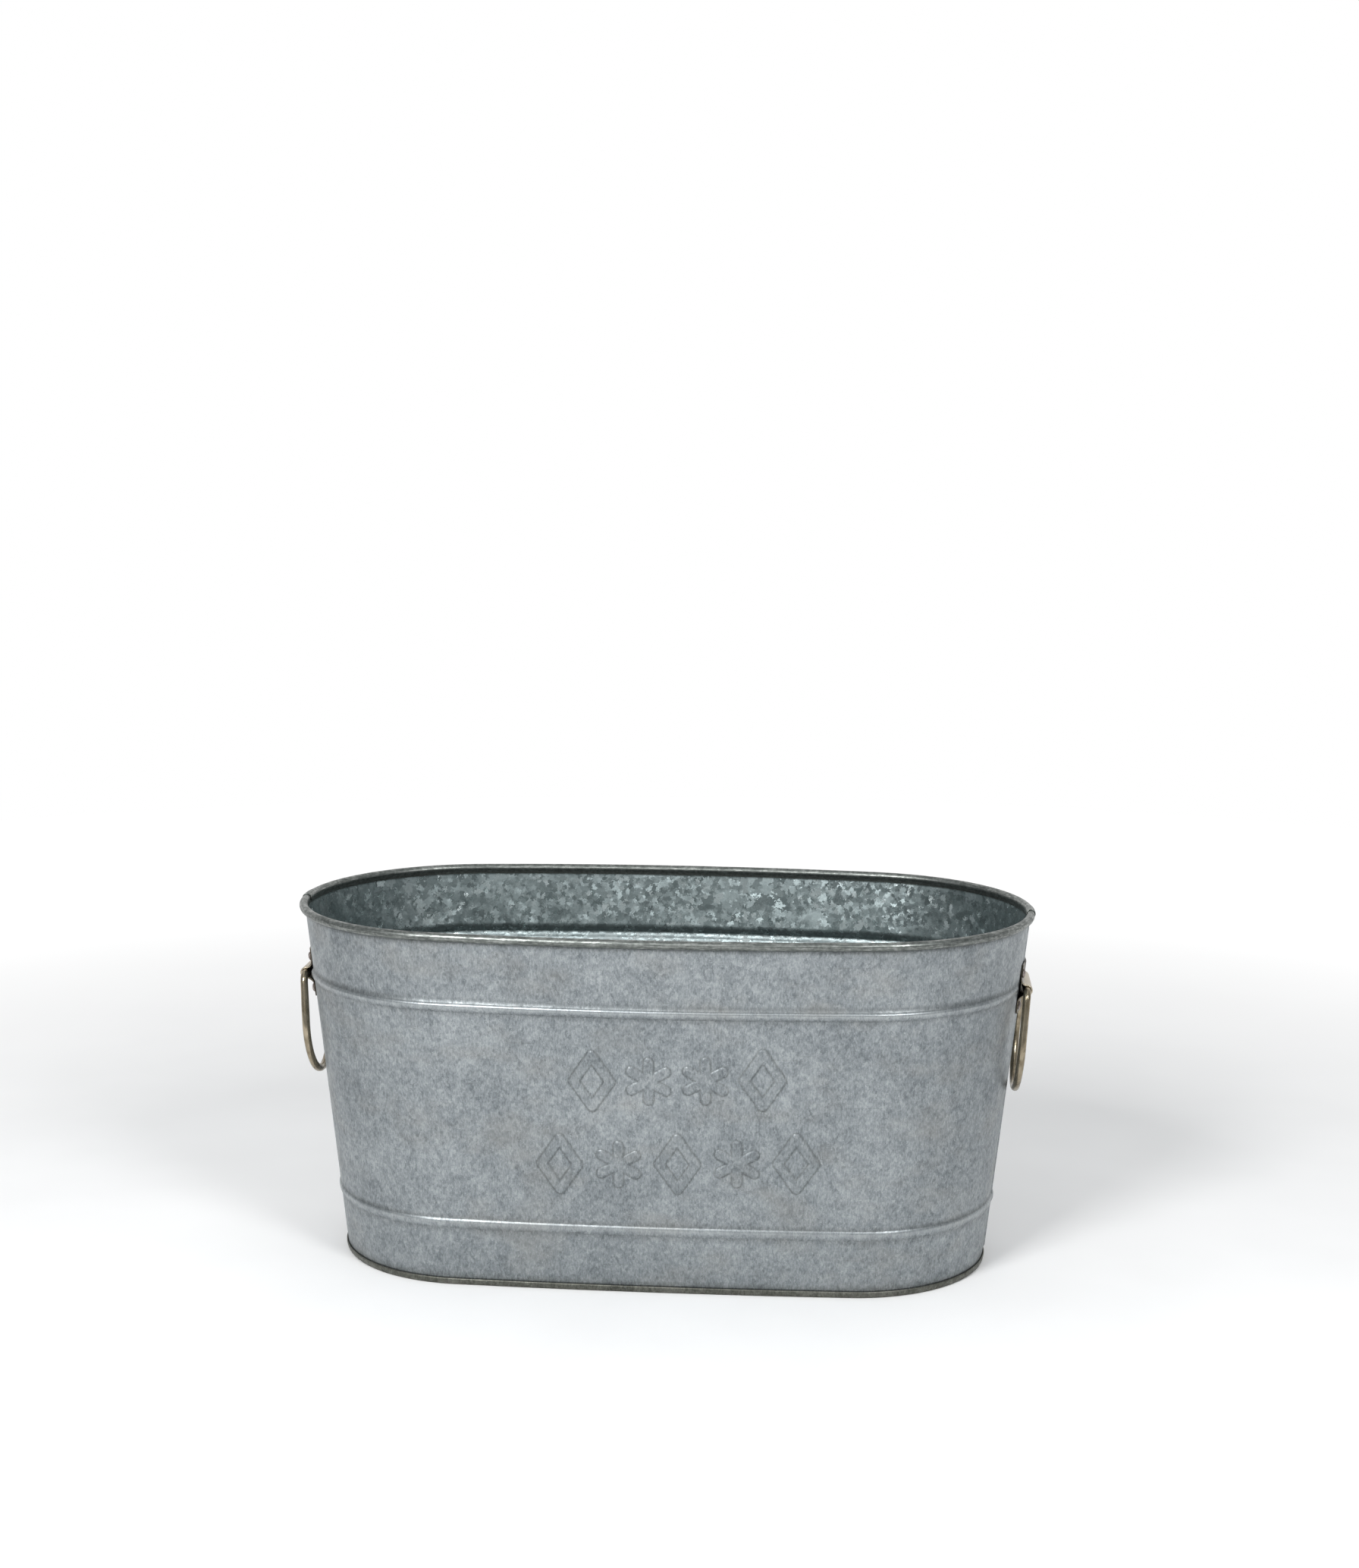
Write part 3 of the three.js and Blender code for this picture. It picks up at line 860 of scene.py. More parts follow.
# ---------------------------------------------------------------------------
# Pressed marks on the front
# ---------------------------------------------------------------------------


class MarkShape(Enum):
    """The plain shapes pressed into the front."""

    LOZENGE = "an upright diamond outline"
    CRYSTAL = "six arms of frost"


@dataclass(frozen=True)
class PressedMark:
    """One shape pressed out of the front wall."""

    shape: MarkShape
    x: float
    z: float
    half_width: float = 16.5 * MM
    half_height: float = 23.0 * MM
    arm: float = 14.5 * MM
    stroke: float = 6.6 * MM

    def distance(self, x: Array, z: Array) -> Array:
        """Distance from the middle of the nearest stroke.

        Args:
            x: places across the wall.
            z: heights.

        Returns:
            Metres, nought along the middle of a stroke.
        """
        u, v = x - self.x, z - self.z
        if self.shape is MarkShape.LOZENGE:
            a = self.half_width - self.stroke / 2
            b = self.half_height - self.stroke / 2
            return to_segment(np.abs(u), np.abs(v), a, 0.0, 0.0, b)
        best = np.full(u.shape, 1.0)
        for k in range(6):
            c, s = math.cos(math.radians(60 * k + 90)), math.sin(math.radians(60 * k + 90))
            best = np.minimum(best, to_segment(u, v, 0, 0, c * self.arm, s * self.arm))
        return best


def to_segment(u: Array, v: Array, u0: float, v0: float, u1: float, v1: float) -> Array:
    """Distance from a straight stroke between two points.

    Args:
        u: places across.
        v: places up.
        u0: the stroke's start, across.
        v0: the stroke's start, up.
        u1: the stroke's end, across.
        v1: the stroke's end, up.

    Returns:
        Metres.
    """
    du, dv = u1 - u0, v1 - v0
    t = np.clip(((u - u0) * du + (v - v0) * dv) / (du * du + dv * dv), 0, 1)
    return np.hypot(u - u0 - t * du, v - v0 - t * dv)


@dataclass(frozen=True)
class PressedRows:
    """Two level rows of plain shapes, in place of any wording."""

    middle: float = 20.5 * MM
    tilt: float = 1.7  # degrees, up toward the right
    rows: tuple[tuple[float, float, int], ...] = (
        (167 * MM, 41 * MM, 4),
        (102.5 * MM, 43 * MM, 5),
    )  # height, pitch and how many
    proud: float = 1.05 * MM
    edge: float = 2.2 * MM
    # Painted shade: a dark line along each stroke's edge, and the strokes' tops a little darker.
    outline_shade_width: float = 0.75 * MM
    outline_shade_in: float = 0.2  # where the painted shade line lies, as a share of the edge
    top_darkening: float = 0.18

    def marks(self) -> list[PressedMark]:
        """The shapes, row by row, alternating along each row.

        Returns:
            The shapes in their places.
        """
        found = []
        for z, pitch, count in self.rows:
            for i in range(count):
                inward = min(i, count - 1 - i)
                shape = MarkShape.LOZENGE if inward % 2 == 0 else MarkShape.CRYSTAL
                x = self.middle + (i - (count - 1) / 2) * pitch
                rise = math.tan(math.radians(self.tilt)) * (x - self.middle)
                found.append(PressedMark(shape, x, z + rise))
        return found

    def relief(self, x: Array, z: Array) -> tuple[Array, Array]:
        """How far the wall is pressed out, and the painted shade along the strokes' edges.

        Args:
            x: places across the wall.
            z: heights.

        Returns:
            Metres proud of the wall, and the painted shade's strength from nought to one, with the
            strokes' tops a little dark too.
        """
        out = np.zeros(x.shape)
        outline_shade = np.zeros(x.shape)
        for mark in self.marks():
            d = mark.distance(x, z) - mark.stroke / 2
            out = np.maximum(out, self.proud * ease(0.5 - d / self.edge))
            # Painted shade just outside each stroke's edge.
            outline_shade = np.maximum(outline_shade, hump(d - self.outline_shade_in * self.edge, self.outline_shade_width))
            # The strokes' tops are darkened a little.
            outline_shade = np.where(d < -self.edge / 2, self.top_darkening, outline_shade)
        return out, outline_shade


# ---------------------------------------------------------------------------
# The tub's wall
# ---------------------------------------------------------------------------


class Face(IntEnum):
    """The two half shells, by the way they face."""

    FRONT = -1
    BACK = 1


class Skin(IntEnum):
    """Material numbers on a wall: each side of the sheet, on the flat and on the curl."""

    OUTER = 0
    INNER = 1
    CURL_HIDDEN = 2
    CURL = 3


@dataclass(frozen=True)
class Bead:
    """A level ridge pressed out of the wall."""

    z: float
    width: float
    proud: float
    stops_at_handles: bool
    crest: float = 0.28  # how far up its half width the top of the ridge is

    def out(self, z: Array, fade: Array) -> Array:
        """How far it stands proud at a height.

        Args:
            z: heights.
            fade: nought under a handle and one away from it.

        Returns:
            Metres.
        """
        s = np.clip((z - self.z) / (self.width / 2), -1, 1)
        t = np.where(s < self.crest, self.crest - s, s - self.crest)
        t = t / np.where(s < self.crest, 1 + self.crest, 1 - self.crest)
        rise = self.proud * (1 - t ** 2.2)
        return rise * fade if self.stops_at_handles else rise


@dataclass
class TubWall:
    """A half shell of sheet, with its beads, lap seams and curled top edge."""

    plan: OvalPlan
    face: Face
    sheet: float = 0.8 * MM
    bead_below_rim: float = 56 * MM
    bead_stop: float = 11.5  # degrees either side of the end's middle
    bead_full: float = 16.0
    lap_half: float = 2.3
    lap_clear: float = 3.2
    lap_foot: float = 5.0
    lap_low: float = 7.5 * MM
    lap_high_below_rim: float = 13 * MM
    lap_fade: float = 3 * MM
    clearance: float = 0.3 * MM
    sleeve_from: float = 8.0  # where the curl starts to change size
    sleeve_full: float = 2.6  # and where it has its full change
    sleeve_reach: float = 2.0  # how far the sleeve runs past the end's middle
    sleeve_swell: float = 0.14
    sleeve_tuck: float = 0.15
    roll_start: float = 205.0
    roll_end: float = -112.0
    roll_step: float = 11.0
    wave_size: float = 95 * MM  # how far apart the sheet's slow waves are
    wave_depth: float = 0.55 * MM
    marks: PressedRows = field(default_factory=PressedRows)

    @property
    def beads(self) -> tuple[Bead, Bead]:
        """The upper and the lower bead."""
        upper = Bead(self.plan.height - self.bead_below_rim, 7 * MM, 1.8 * MM, True)
        return upper, Bead(48.5 * MM, 8 * MM, 1.3 * MM, False)

    @property
    def lap_high(self) -> float:
        """Height where the lap ends under the curl."""
        return self.plan.height - self.lap_high_below_rim

    def columns(self) -> Columns:
        """Places from the right end's seam round this half to the left end's.

        Returns:
            The columns.
        """
        f = int(self.face)
        tab = self.lap_half
        end = spaced((-tab, 0.35), (self.lap_foot + 0.5, 1.6), (self.bead_stop, 0.75),
                     (self.bead_full, 1.8), (55, 2.0), (90, 2.0))
        if self.face is Face.FRONT:
            zone = spaced((1.0, 0.026), (0.9, 0.0056), (-0.72, 0.026), (-1.0, 0.026))
        else:
            zone = spaced((1.0, 0.03), (-1.0, 0.03))
        zone = zone[1:-1]
        n_end, n_long = len(end), len(zone)
        side = np.concatenate([np.ones(n_end), np.zeros(n_long), -np.ones(n_end)])
        turn = np.radians(np.concatenate([f * end, np.full(n_long, f * 90.0), f * end[::-1]]))
        along = np.concatenate([np.zeros(n_end), zone, np.zeros(n_end)])
        return Columns(side, turn, along, np.full(len(side), float(f)))

    def section(self) -> Array:
        """Middle line of the plain section, foot to curl.

        Returns:
            Out and height for each point.
        """
        p = self.plan
        upper, lower = self.beads
        reach = [(b.z - b.width / 2, b.z + b.width / 2) for b in (lower, upper)]
        fine = 0.85 * MM if self.face is Face.FRONT else 5 * MM
        z = spaced(
            (1.1 * MM, 2 * MM), (self.lap_low, 0.8 * MM), (self.lap_low + self.lap_fade, 5 * MM),
            (reach[0][0], 0.62 * MM), (reach[0][1], 4 * MM), (76 * MM, fine), (193 * MM, 4 * MM),
            (reach[1][0], 0.55 * MM), (reach[1][1], 5 * MM), (self.lap_high, 0.8 * MM),
            (self.lap_high + self.lap_fade, 1.2 * MM), (p.roll_z - p.roll_radius - 1.2 * MM, 1),
        )
        wall = np.stack([np.full(len(z), -self.sheet / 2), z], axis=1)
        a = np.radians(self.roll_turns())
        mid = p.roll_radius - self.sheet / 2
        curl = np.stack([p.roll_shift + mid * np.cos(a), p.roll_z + mid * np.sin(a)], axis=1)
        return np.concatenate([wall, curl])

    def lap(self, turn_deg: Array, z: Array) -> Array:
        """How far the front shell stands off where it laps the back one.

        Args:
            turn_deg: degrees from an end's middle.
            z: heights.

        Returns:
            Metres.
        """
        along = ease((self.lap_foot + turn_deg) / (self.lap_foot - self.lap_clear))
        rise = np.clip((z - self.lap_low) / self.lap_fade, 0, 1)
        fall = np.clip((self.lap_high + self.lap_fade - z) / self.lap_fade, 0, 1)
        return (self.sheet + self.clearance) * along * np.minimum(rise, fall)

    def painted_light_and_wear(self, z: Array, fade: Array, on_wall: Array) -> tuple[Array, Array]:
        """Painted shade along the beads, under the curl and toward the foot, and the bead crests
        lightened by rubbing and a painted highlight.

        Args:
            z: heights, columns by rows.
            fade: nought under a handle and one away from it.
            on_wall: whether a row is on the wall rather than the curl.

        Returns:
            Painted shade, and rubbing with painted highlight, columns by rows.
        """
        painted_shade = np.zeros(z.shape)
        polish_and_painted_highlight = np.zeros(z.shape)
        for bead in self.beads:
            there = fade if bead.stops_at_handles else 1
            top = bead.z + bead.crest * bead.width / 2
            # Bead crests: lighter and smoother, partly real rubbing and partly a painted highlight.
            crest = np.clip(1 - np.abs(z - top) / (bead.width * 0.36), 0, 1)
            polish_and_painted_highlight = np.maximum(polish_and_painted_highlight, crest * there)
            # Painted shade: a dark line at each bead's upper edge and a band under its lower slope.
            groove = hump(z - bead.z - bead.width / 2, 0.8 * MM)
            under = hump(z - bead.z + bead.width * 0.42, 1.5 * MM)
            painted_shade += (0.42 * groove + 0.22 * under) * there
        # Painted shade near the floor, darker towards the bottom.
        foot = np.maximum(hump(z - 5 * MM, 5 * MM) * 0.55, 0.14 * np.exp(-(z / (28 * MM))))
        # Painted shade: a dark line under the curl.
        neck = hump(z - self.plan.bend_z, 2.6 * MM) * 0.5 * on_wall
        return painted_shade + foot + neck, polish_and_painted_highlight

    def waves(self, where: Array, turn: Array) -> Array:
        """Slow unevenness of the sheet, gone at the foot, the rim and the handles.

        Args:
            where: coordinates, columns by rows by three.
            turn: degrees from an end's middle.

        Returns:
            Metres, columns by rows.
        """
        z = where[..., 2]
        free = np.clip((z - 12 * MM) / (40 * MM), 0, 1)
        free = free * np.clip((self.plan.bend_z - z) / (30 * MM), 0, 1)
        away = np.clip((np.abs(turn) - 18) / 20, 0, 1)
        return wander(where, self.wave_size, 3.0) * self.wave_depth * free * away

    def build(self, name: str) -> bpy.types.Object:
        """Makes the shell as a middle surface with the sheet's thickness.

        Args:
            name: the piece's name.

        Returns:
            The object.
        """
        p = self.plan
        columns, line = self.columns(), self.section()
        n, rows = len(columns), len(line)
        curl_row = rows - len(self.roll_turns())
        out = np.tile(line[:, 0], (n, 1))
        z = np.tile(line[:, 1], (n, 1))
        turn = np.degrees(columns.turn)[:, None]
        on_wall = np.arange(rows)[None, :] < curl_row
        fade = ease((np.abs(turn) - self.bead_stop) / (self.bead_full - self.bead_stop))
        relief = sum(bead.out(z, fade) for bead in self.beads) * on_wall
        where = p.points(columns, out, z)
        outline_shade = np.zeros(z.shape)
        if self.face is Face.FRONT:
            pressed, outline_shade = self.marks.relief(where[..., 0], z)
            flat = (columns.side == 0)[:, None] & on_wall
            relief = relief + self.lap(turn, z) * on_wall + pressed * flat
            outline_shade = 0.5 * outline_shade * flat
        out = out + (relief + self.waves(where, turn)) * on_wall
        size = self.curl_size(turn)
        out = np.where(on_wall, out, p.roll_shift + (out - p.roll_shift) * size)
        z = np.where(on_wall, z, p.roll_z + (z - p.roll_z) * size)
        painted_shade, polish_and_painted_highlight = self.painted_light_and_wear(z, fade, on_wall)
        keep = self.kept_cells(columns, line, n, rows)
        obj = mesh_from(name, p.points(columns, out, z), grid_faces(rows, n)[keep], 80.0,
                        flip=self.face is Face.FRONT)
        cell_row = np.tile(np.arange(rows - 1), n - 1)[keep]
        skin = np.where(cell_row >= curl_row - 1, int(Skin.CURL_HIDDEN), int(Skin.OUTER))
        obj.data.polygons.foreach_set("material_index", skin.astype(np.int32))
        # Painted shade and the marks' painted outlines go to the materials as one mask.
        store(obj, "painted_shade", np.clip(painted_shade + outline_shade, 0, 0.85))
        store(obj, "polish_and_painted_highlight", polish_and_painted_highlight)
        clean(obj)
        thicken(obj, self.sheet, inner=Skin.INNER - Skin.OUTER, rim=Skin.INNER - Skin.OUTER)
        return obj

    def roll_turns(self) -> Array:
        """Degrees round the curl's arc, point by point."""
        return spaced((self.roll_start, self.roll_step), (self.roll_end, self.roll_step))

    def curl_size(self, turn: Array) -> Array:
        """How much fuller or slimmer the curl is: the back one sleeves the front.

        Args:
            turn: degrees from an end's middle.

        Returns:
            A factor on the curl's radius.
        """
        near = ease((self.sleeve_from - np.abs(turn)) / (self.sleeve_from - self.sleeve_full))
        return 1 + near * (self.sleeve_swell if self.face is Face.BACK else -self.sleeve_tuck)

    def kept_cells(self, columns: Columns, line: Array, n: int, rows: int) -> Array:
        """Cells that are left once the corners past the seam are cut away.

        Args:
            columns: the wall's columns.
            line: the middle line of its section.
            n: how many columns; not used.
            rows: how many rows.

        Returns:
            One yes or no for each cell.
        """
        past = np.degrees(columns.turn) * -int(self.face)
        cell_past = np.minimum(past[:-1], past[1:])
        row_low = line[:-1, 1]
        row = np.arange(rows - 1)
        trim = 0.5 * MM if self.face is Face.FRONT else 1.0 * MM
        high = (row_low > self.lap_high - trim) | (row >= rows - len(self.roll_turns()) - 1)
        low = line[1:, 1] < self.lap_low + self.lap_fade + trim
        low &= row < rows // 2
        gone = (cell_past > -0.05)[:, None] & (high | low)[None, :]
        if self.face is Face.BACK:
            sleeve = (cell_past < self.sleeve_reach)[:, None]
            gone &= ~(sleeve & (row >= rows - len(self.roll_turns()))[None, :])
        return ~gone.reshape(-1)

    def dress(self, obj: bpy.types.Object, finishes: "Finishes") -> None:
        """Gives the shell its surfaces and ties it to the frame.

        Args:
            obj: the shell.
            finishes: the tub's materials.
        """
        skins = {Skin.OUTER: finishes.outside, Skin.INNER: finishes.inside,
                 Skin.CURL_HIDDEN: finishes.outside, Skin.CURL: finishes.rolled}
        for skin in Skin:
            obj.data.materials.append(skins[skin])
        node = "front_shell" if self.face is Face.FRONT else "back_shell"
        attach(obj, "tub")
        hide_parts(node)


def clean(obj: bpy.types.Object) -> None:
    """Drops vertices that no face uses.

    Args:
        obj: the object whose mesh is changed.
    """
    bm = bmesh.new()
    bm.from_mesh(obj.data)
    loose = [v for v in bm.verts if not v.link_faces]
    bmesh.ops.delete(bm, geom=loose, context="VERTS")
    bm.to_mesh(obj.data)
    bm.free()


def whole_oval(end_step: float, side_step: float) -> Columns:
    """Places all the way round, evenly enough, starting at the right end.

    Args:
        end_step: degrees between columns on the ends.
        side_step: share of a half side between columns on the long sides.

    Returns:
        The columns, clockwise seen from above, with no repeat.
    """
    quarter = np.linspace(0, 90, round(90 / end_step) + 1)
    zone = np.linspace(1, -1, round(2 / side_step) + 1)[1:-1]
    parts = [
        (1, -quarter, 0 * quarter, -1), (0, -90 + 0 * zone, zone, -1),
        (-1, -quarter[::-1], 0 * quarter, -1), (-1, quarter[1:], 0 * quarter[1:], 1),
        (0, 90 + 0 * zone, -zone, 1), (1, quarter[::-1][:-1], 0 * quarter[1:], 1),
    ]
    side = np.concatenate([np.full(len(t), float(s)) for s, t, _, _ in parts])
    turn = np.radians(np.concatenate([t for _, t, _, _ in parts]))
    along = np.concatenate([a for _, _, a, _ in parts])
    face = np.concatenate([np.full(len(t), float(f)) for _, t, _, f in parts])
    return Columns(side, turn, along, face)


@dataclass
class FootPan:
    """The base: a floor, a channel that the walls stand in, and a hem outside."""

    plan: OvalPlan
    sheet: float = 0.8 * MM
    clearance: float = 0.3 * MM
    floor_height: float = 3 * MM
    hem_height: float = 5 * MM
    fold: float = 0.9 * MM  # radius of the folds
    floor_wave_size: float = 80 * MM
    floor_wave: float = 0.25 * MM

    def build(self, name: str) -> bpy.types.Object:
        """Makes the pan as one folded sheet.

        Args:
            name: the piece's name.

        Returns:
            The object.
        """
        half = self.sheet / 2
        inner = -self.sheet - self.clearance - half
        outer = self.clearance + half
        top = self.floor_height + half
        r = self.fold
        profile = [
            (inner - 3 * MM, top), (inner - r, top), (inner - 0.25 * r, top - 0.2 * r),
            (inner, top - r), (inner, half + r), (inner + 0.3 * r, half + 0.25 * r),
            (inner + r, half), (0, half), (outer - r, half), (outer - 0.25 * r, half + 0.3 * r),
            (outer + 0.05 * MM, half + r), (outer + 0.3 * MM, self.hem_height * 0.62),
            (outer + 0.28 * MM, self.hem_height * 0.8), (outer, self.hem_height),
        ]
        columns = whole_oval(2.25, 0.045)
        n = len(columns)
        out = np.tile([q[0] for q in profile], (n, 1))
        z = np.tile([q[1] for q in profile], (n, 1))
        hem = self.plan.points(columns, out, z)
        edge = hem[:, 0]
        spine = np.zeros_like(edge)
        spine[:, 0] = np.clip(edge[:, 0], -self.plan.half_straight, self.plan.half_straight)
        share = np.linspace(0, 1, 22)[:-1]
        inside = spine[:, None] + (edge - spine)[:, None] * share[None, :, None]
        inside[..., 2] = edge[0, 2]
        level = np.sin(share * math.pi)[None, :]
        inside[..., 2] += wander(inside, self.floor_wave_size, 9.0) * self.floor_wave * level
        points = np.concatenate([inside, hem], axis=1)
        rows = points.shape[1]
        obj = mesh_from(name, points, grid_faces(rows, n, wrap_columns=True), 60.0)
        folded = np.tile(np.arange(rows - 1), n) >= inside.shape[1] + 2
        obj.data.polygons.foreach_set("material_index", folded.astype(np.int32))
        merge(obj)
        height = np.array([v.co.z for v in obj.data.vertices])
        # Painted shade at the floor: all of the pan lies below 5.2 mm, so all of it is darkened.
        store(obj, "painted_shade", np.where(height < 5.2 * MM, 0.42, 0.1))
        store(obj, "polish_and_painted_highlight", np.zeros(len(height)))
        thicken(obj, self.sheet, even=False)
        return obj

    def dress(self, obj: bpy.types.Object, finishes: "Finishes") -> None:
        """Gives the pan its zinc, spangled inside and painted darker on the hem as shade at the
        floor, and ties it to the frame.

        Args:
            obj: the pan.
            finishes: the tub's materials.
        """
        obj.data.materials.append(finishes.inside)
        obj.data.materials.append(finishes.hem)
        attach(obj, "tub")
        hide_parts("base_pan")


def merge(obj: bpy.types.Object, distance: float = 0.01 * MM) -> None:
    """Joins vertices that lie on one another and makes the faces agree.

    Args:
        obj: the object whose mesh is changed.
        distance: how near vertices are before they are joined.
    """
    bm = bmesh.new()
    bm.from_mesh(obj.data)
    bmesh.ops.remove_doubles(bm, verts=bm.verts, dist=distance)
    bmesh.ops.recalc_face_normals(bm, faces=bm.faces)
    bm.to_mesh(obj.data)
    bm.free()


@dataclass
class RimWire:
    """The stiffening wire inside the curl."""

    plan: OvalPlan
    diameter: float = 4.2 * MM

    def build(self, name: str) -> bpy.types.Object:
        """Makes the loop of wire.

        Args:
            name: the piece's name.

        Returns:
            The object.
        """
        columns = whole_oval(3.0, 0.06)
        n = len(columns)
        line = self.plan.points(
            columns, np.full((n, 1), self.plan.roll_shift), np.full((n, 1), self.plan.roll_z)
        )[:, 0]
        return tube(name, line, lambda s: np.full(len(s), self.diameter / 2), 14)

    def dress(self, obj: bpy.types.Object, finishes: "Finishes") -> None:
        """Gives the wire its steel and ties it to the frame.

        Args:
            obj: the wire.
            finishes: the tub's materials.
        """
        obj.data.materials.append(finishes.wire)
        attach(obj, "tub")
        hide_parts("rim_wire")


# ---------------------------------------------------------------------------
# Handles
# ---------------------------------------------------------------------------


@dataclass
class RingHandle:
    """One side's handle: a wire ring, the strap that holds it and four rivets."""

    plan: OvalPlan
    word: str
    side: int
    hinge: Vector
    wire: float = 5.8 * MM
    drop: float = 80 * MM
    corner: float = 7 * MM
    bottom: float = 38 * MM
    end_play: float = 1 * MM
    off_wall: float = 1.7  # degrees between the hanging ring and the wall
    strap: float = 1.2 * MM
    half_width: float = 23.5 * MM
    leaf_up: float = 19 * MM
    leaf_down: float = 18.5 * MM
    root_bend: float = 2.4 * MM
    narrowing: float = 0.1
    clearance: float = 0.3 * MM
    lap_step: float = 1.1 * MM
    lap_top: float = 8.0 * MM
    lap_foot: float = 12.5 * MM
    rivet_spread: float = 12.2 * MM
    rivet_edge: float = 5.25 * MM
    head_radius: float = 3.4 * MM
    head_height: float = 1.9 * MM
    head_rim: float = 0.22 * MM
    shank_radius: float = 1.6 * MM
    tail_radius: float = 2.9 * MM
    tail_height: float = 1.0 * MM
    wall_sheet: float = 0.8 * MM
    dent_size: float = 2.6 * MM  # how far apart a head's hammer marks are
    dent_depth: float = 0.07 * MM

    def ring_line(self) -> Array:
        """Middle line of the ring in its own plane.

        Returns:
            Across and up from the ring's axis, for each point.
        """
        w, rc, rb = self.half_width + self.end_play, self.corner, self.bottom
        low = rb - self.drop
        h = -rc - low
        lean = math.atan2(h, w) - math.acos((rb - rc) / math.hypot(w, h))

        def arc(cx: float, cz: float, r: float, a0: float, a1: float, n: int) -> Array:
            """Points along an arc, first and last included."""
            a = np.linspace(a0, a1, n)
            return np.stack([cx + r * np.cos(a), cz + r * np.sin(a)], axis=1)

        def run(a: Array, b: Array, n: int) -> Array:
            """Points strictly between two points."""
            t = np.linspace(0, 1, n + 2)[1:-1, None]
            return a + (b - a) * t

        right = arc(w, -rc, rc, math.pi / 2, lean, 14)
        base = arc(0, low, rb, lean, -math.pi - lean, 76)
        left = arc(-w, -rc, rc, math.pi - lean, math.pi / 2, 14)
        return np.concatenate([
            right, run(right[-1], base[0], 16), base, run(base[-1], left[0], 16), left,
            run(left[-1], right[0], 22),
        ])

    def build_ring(self) -> bpy.types.Object:
        """Makes the ring, hanging with a slight lean toward the wall.

        Returns:
            The object.
        """
        flat = self.ring_line()
        lean = math.atan(self.plan.slope) - math.radians(self.off_wall)
        x = self.side * flat[:, 1] * math.sin(lean)
        line = np.stack([x, flat[:, 0], flat[:, 1] * math.cos(lean)], axis=1)
        line += np.array(self.hinge)
        swell = 0.012 * self.wire

        def radius(s: Array) -> Array:
            """The wire is drawn a touch unevenly."""
            return self.wire / 2 + swell * np.sin(2 * math.pi * s * 5 + self.side)

        return tube(f"{self.word}_ring_wire", line, radius, 28)

    def leaf_out(self, y: Array) -> Array:
        """How far a leaf stands off the wall: it steps out over the seam."""
        step = np.clip((self.lap_foot - np.abs(y)) / (self.lap_foot - self.lap_top), 0, 1)
        return self.clearance + self.lap_step * step

    def build_strap(self) -> bpy.types.Object:
        """Makes the strap as one bent sheet: leaf, knuckle, leaf.

        Returns:
            The object.
        """
        mid = self.wire / 2 + self.clearance + self.strap / 2
        root = mid + self.root_bend
        axis_x, axis_z = abs(self.hinge.x), self.hinge.z
        up = np.linspace(self.leaf_up, root, 10)
        down = np.linspace(-root, -self.leaf_down, 10)
        a = np.radians(np.linspace(112, -112, 30))
        rise = np.concatenate([up, mid * np.sin(a), down])
        knuckle_x = np.concatenate([up * 0, axis_x + mid * np.cos(a), down * 0])
        on_leaf = np.concatenate([up * 0 + 1, a * 0, down * 0 + 1])
        across = np.linspace(-1, 1, 33)
        to_tip = np.clip((np.abs(rise) - root) / (self.leaf_up - root), 0, 1)
        rows = []
        for share in across:
            y = share * self.half_width * (1 - self.narrowing * to_tip * abs(share) ** 3)
            wall = np.array([self.plan.end_x(float(b), axis_z + float(h)) for b, h in zip(y, rise)])
            leaf_x = wall + self.leaf_out(y) + self.strap / 2
            x = np.where(on_leaf > 0, leaf_x, knuckle_x)
            rows.append(smooth_line(np.stack([self.side * x, y, axis_z + rise], axis=1), 2))
        points = np.array(rows)
        faces = grid_faces(points.shape[1], points.shape[0])
        obj = mesh_from(f"{self.word}_strap", points, faces, 60.0, flip=self.side < 0)
        # The knuckle is marked for lightening: rubbing by the ring and a painted highlight.
        worn = np.convolve(1 - on_leaf, np.ones(3) / 3, mode="same")
        store(obj, "polish_and_painted_highlight", np.tile(worn, len(across)))
        thicken(obj, self.strap)
        soften(obj, 0.3 * MM)
        return obj

    def rivet_places(self) -> list[tuple[str, Matrix]]:
        """Name and placing of each rivet, with its own +Z pointing outward.

        Returns:
            Pairs of a name and a placing.
        """
        places = []
        for level, up in (("upper", 1), ("lower", -1)):
            for way, back in (("front", -1), ("back", 1)):
                z = self.hinge.z + up * self.rivet_spread
                y = self.half_width - self.rivet_edge
                x = self.plan.end_x(y, z)
                r = float(self.plan.wall_radius(np.float64(z)))
                turn = math.asin(y / r)
                out = Vector((math.cos(turn) * self.side, math.sin(turn) * back,
                              -self.plan.slope)).normalized()
                spot = Vector((x * self.side, y * back, z))
                places.append((f"{level}_{way}", Matrix.Translation(spot)
                               @ out.to_track_quat("Z", "Y").to_matrix().to_4x4()))
        return places

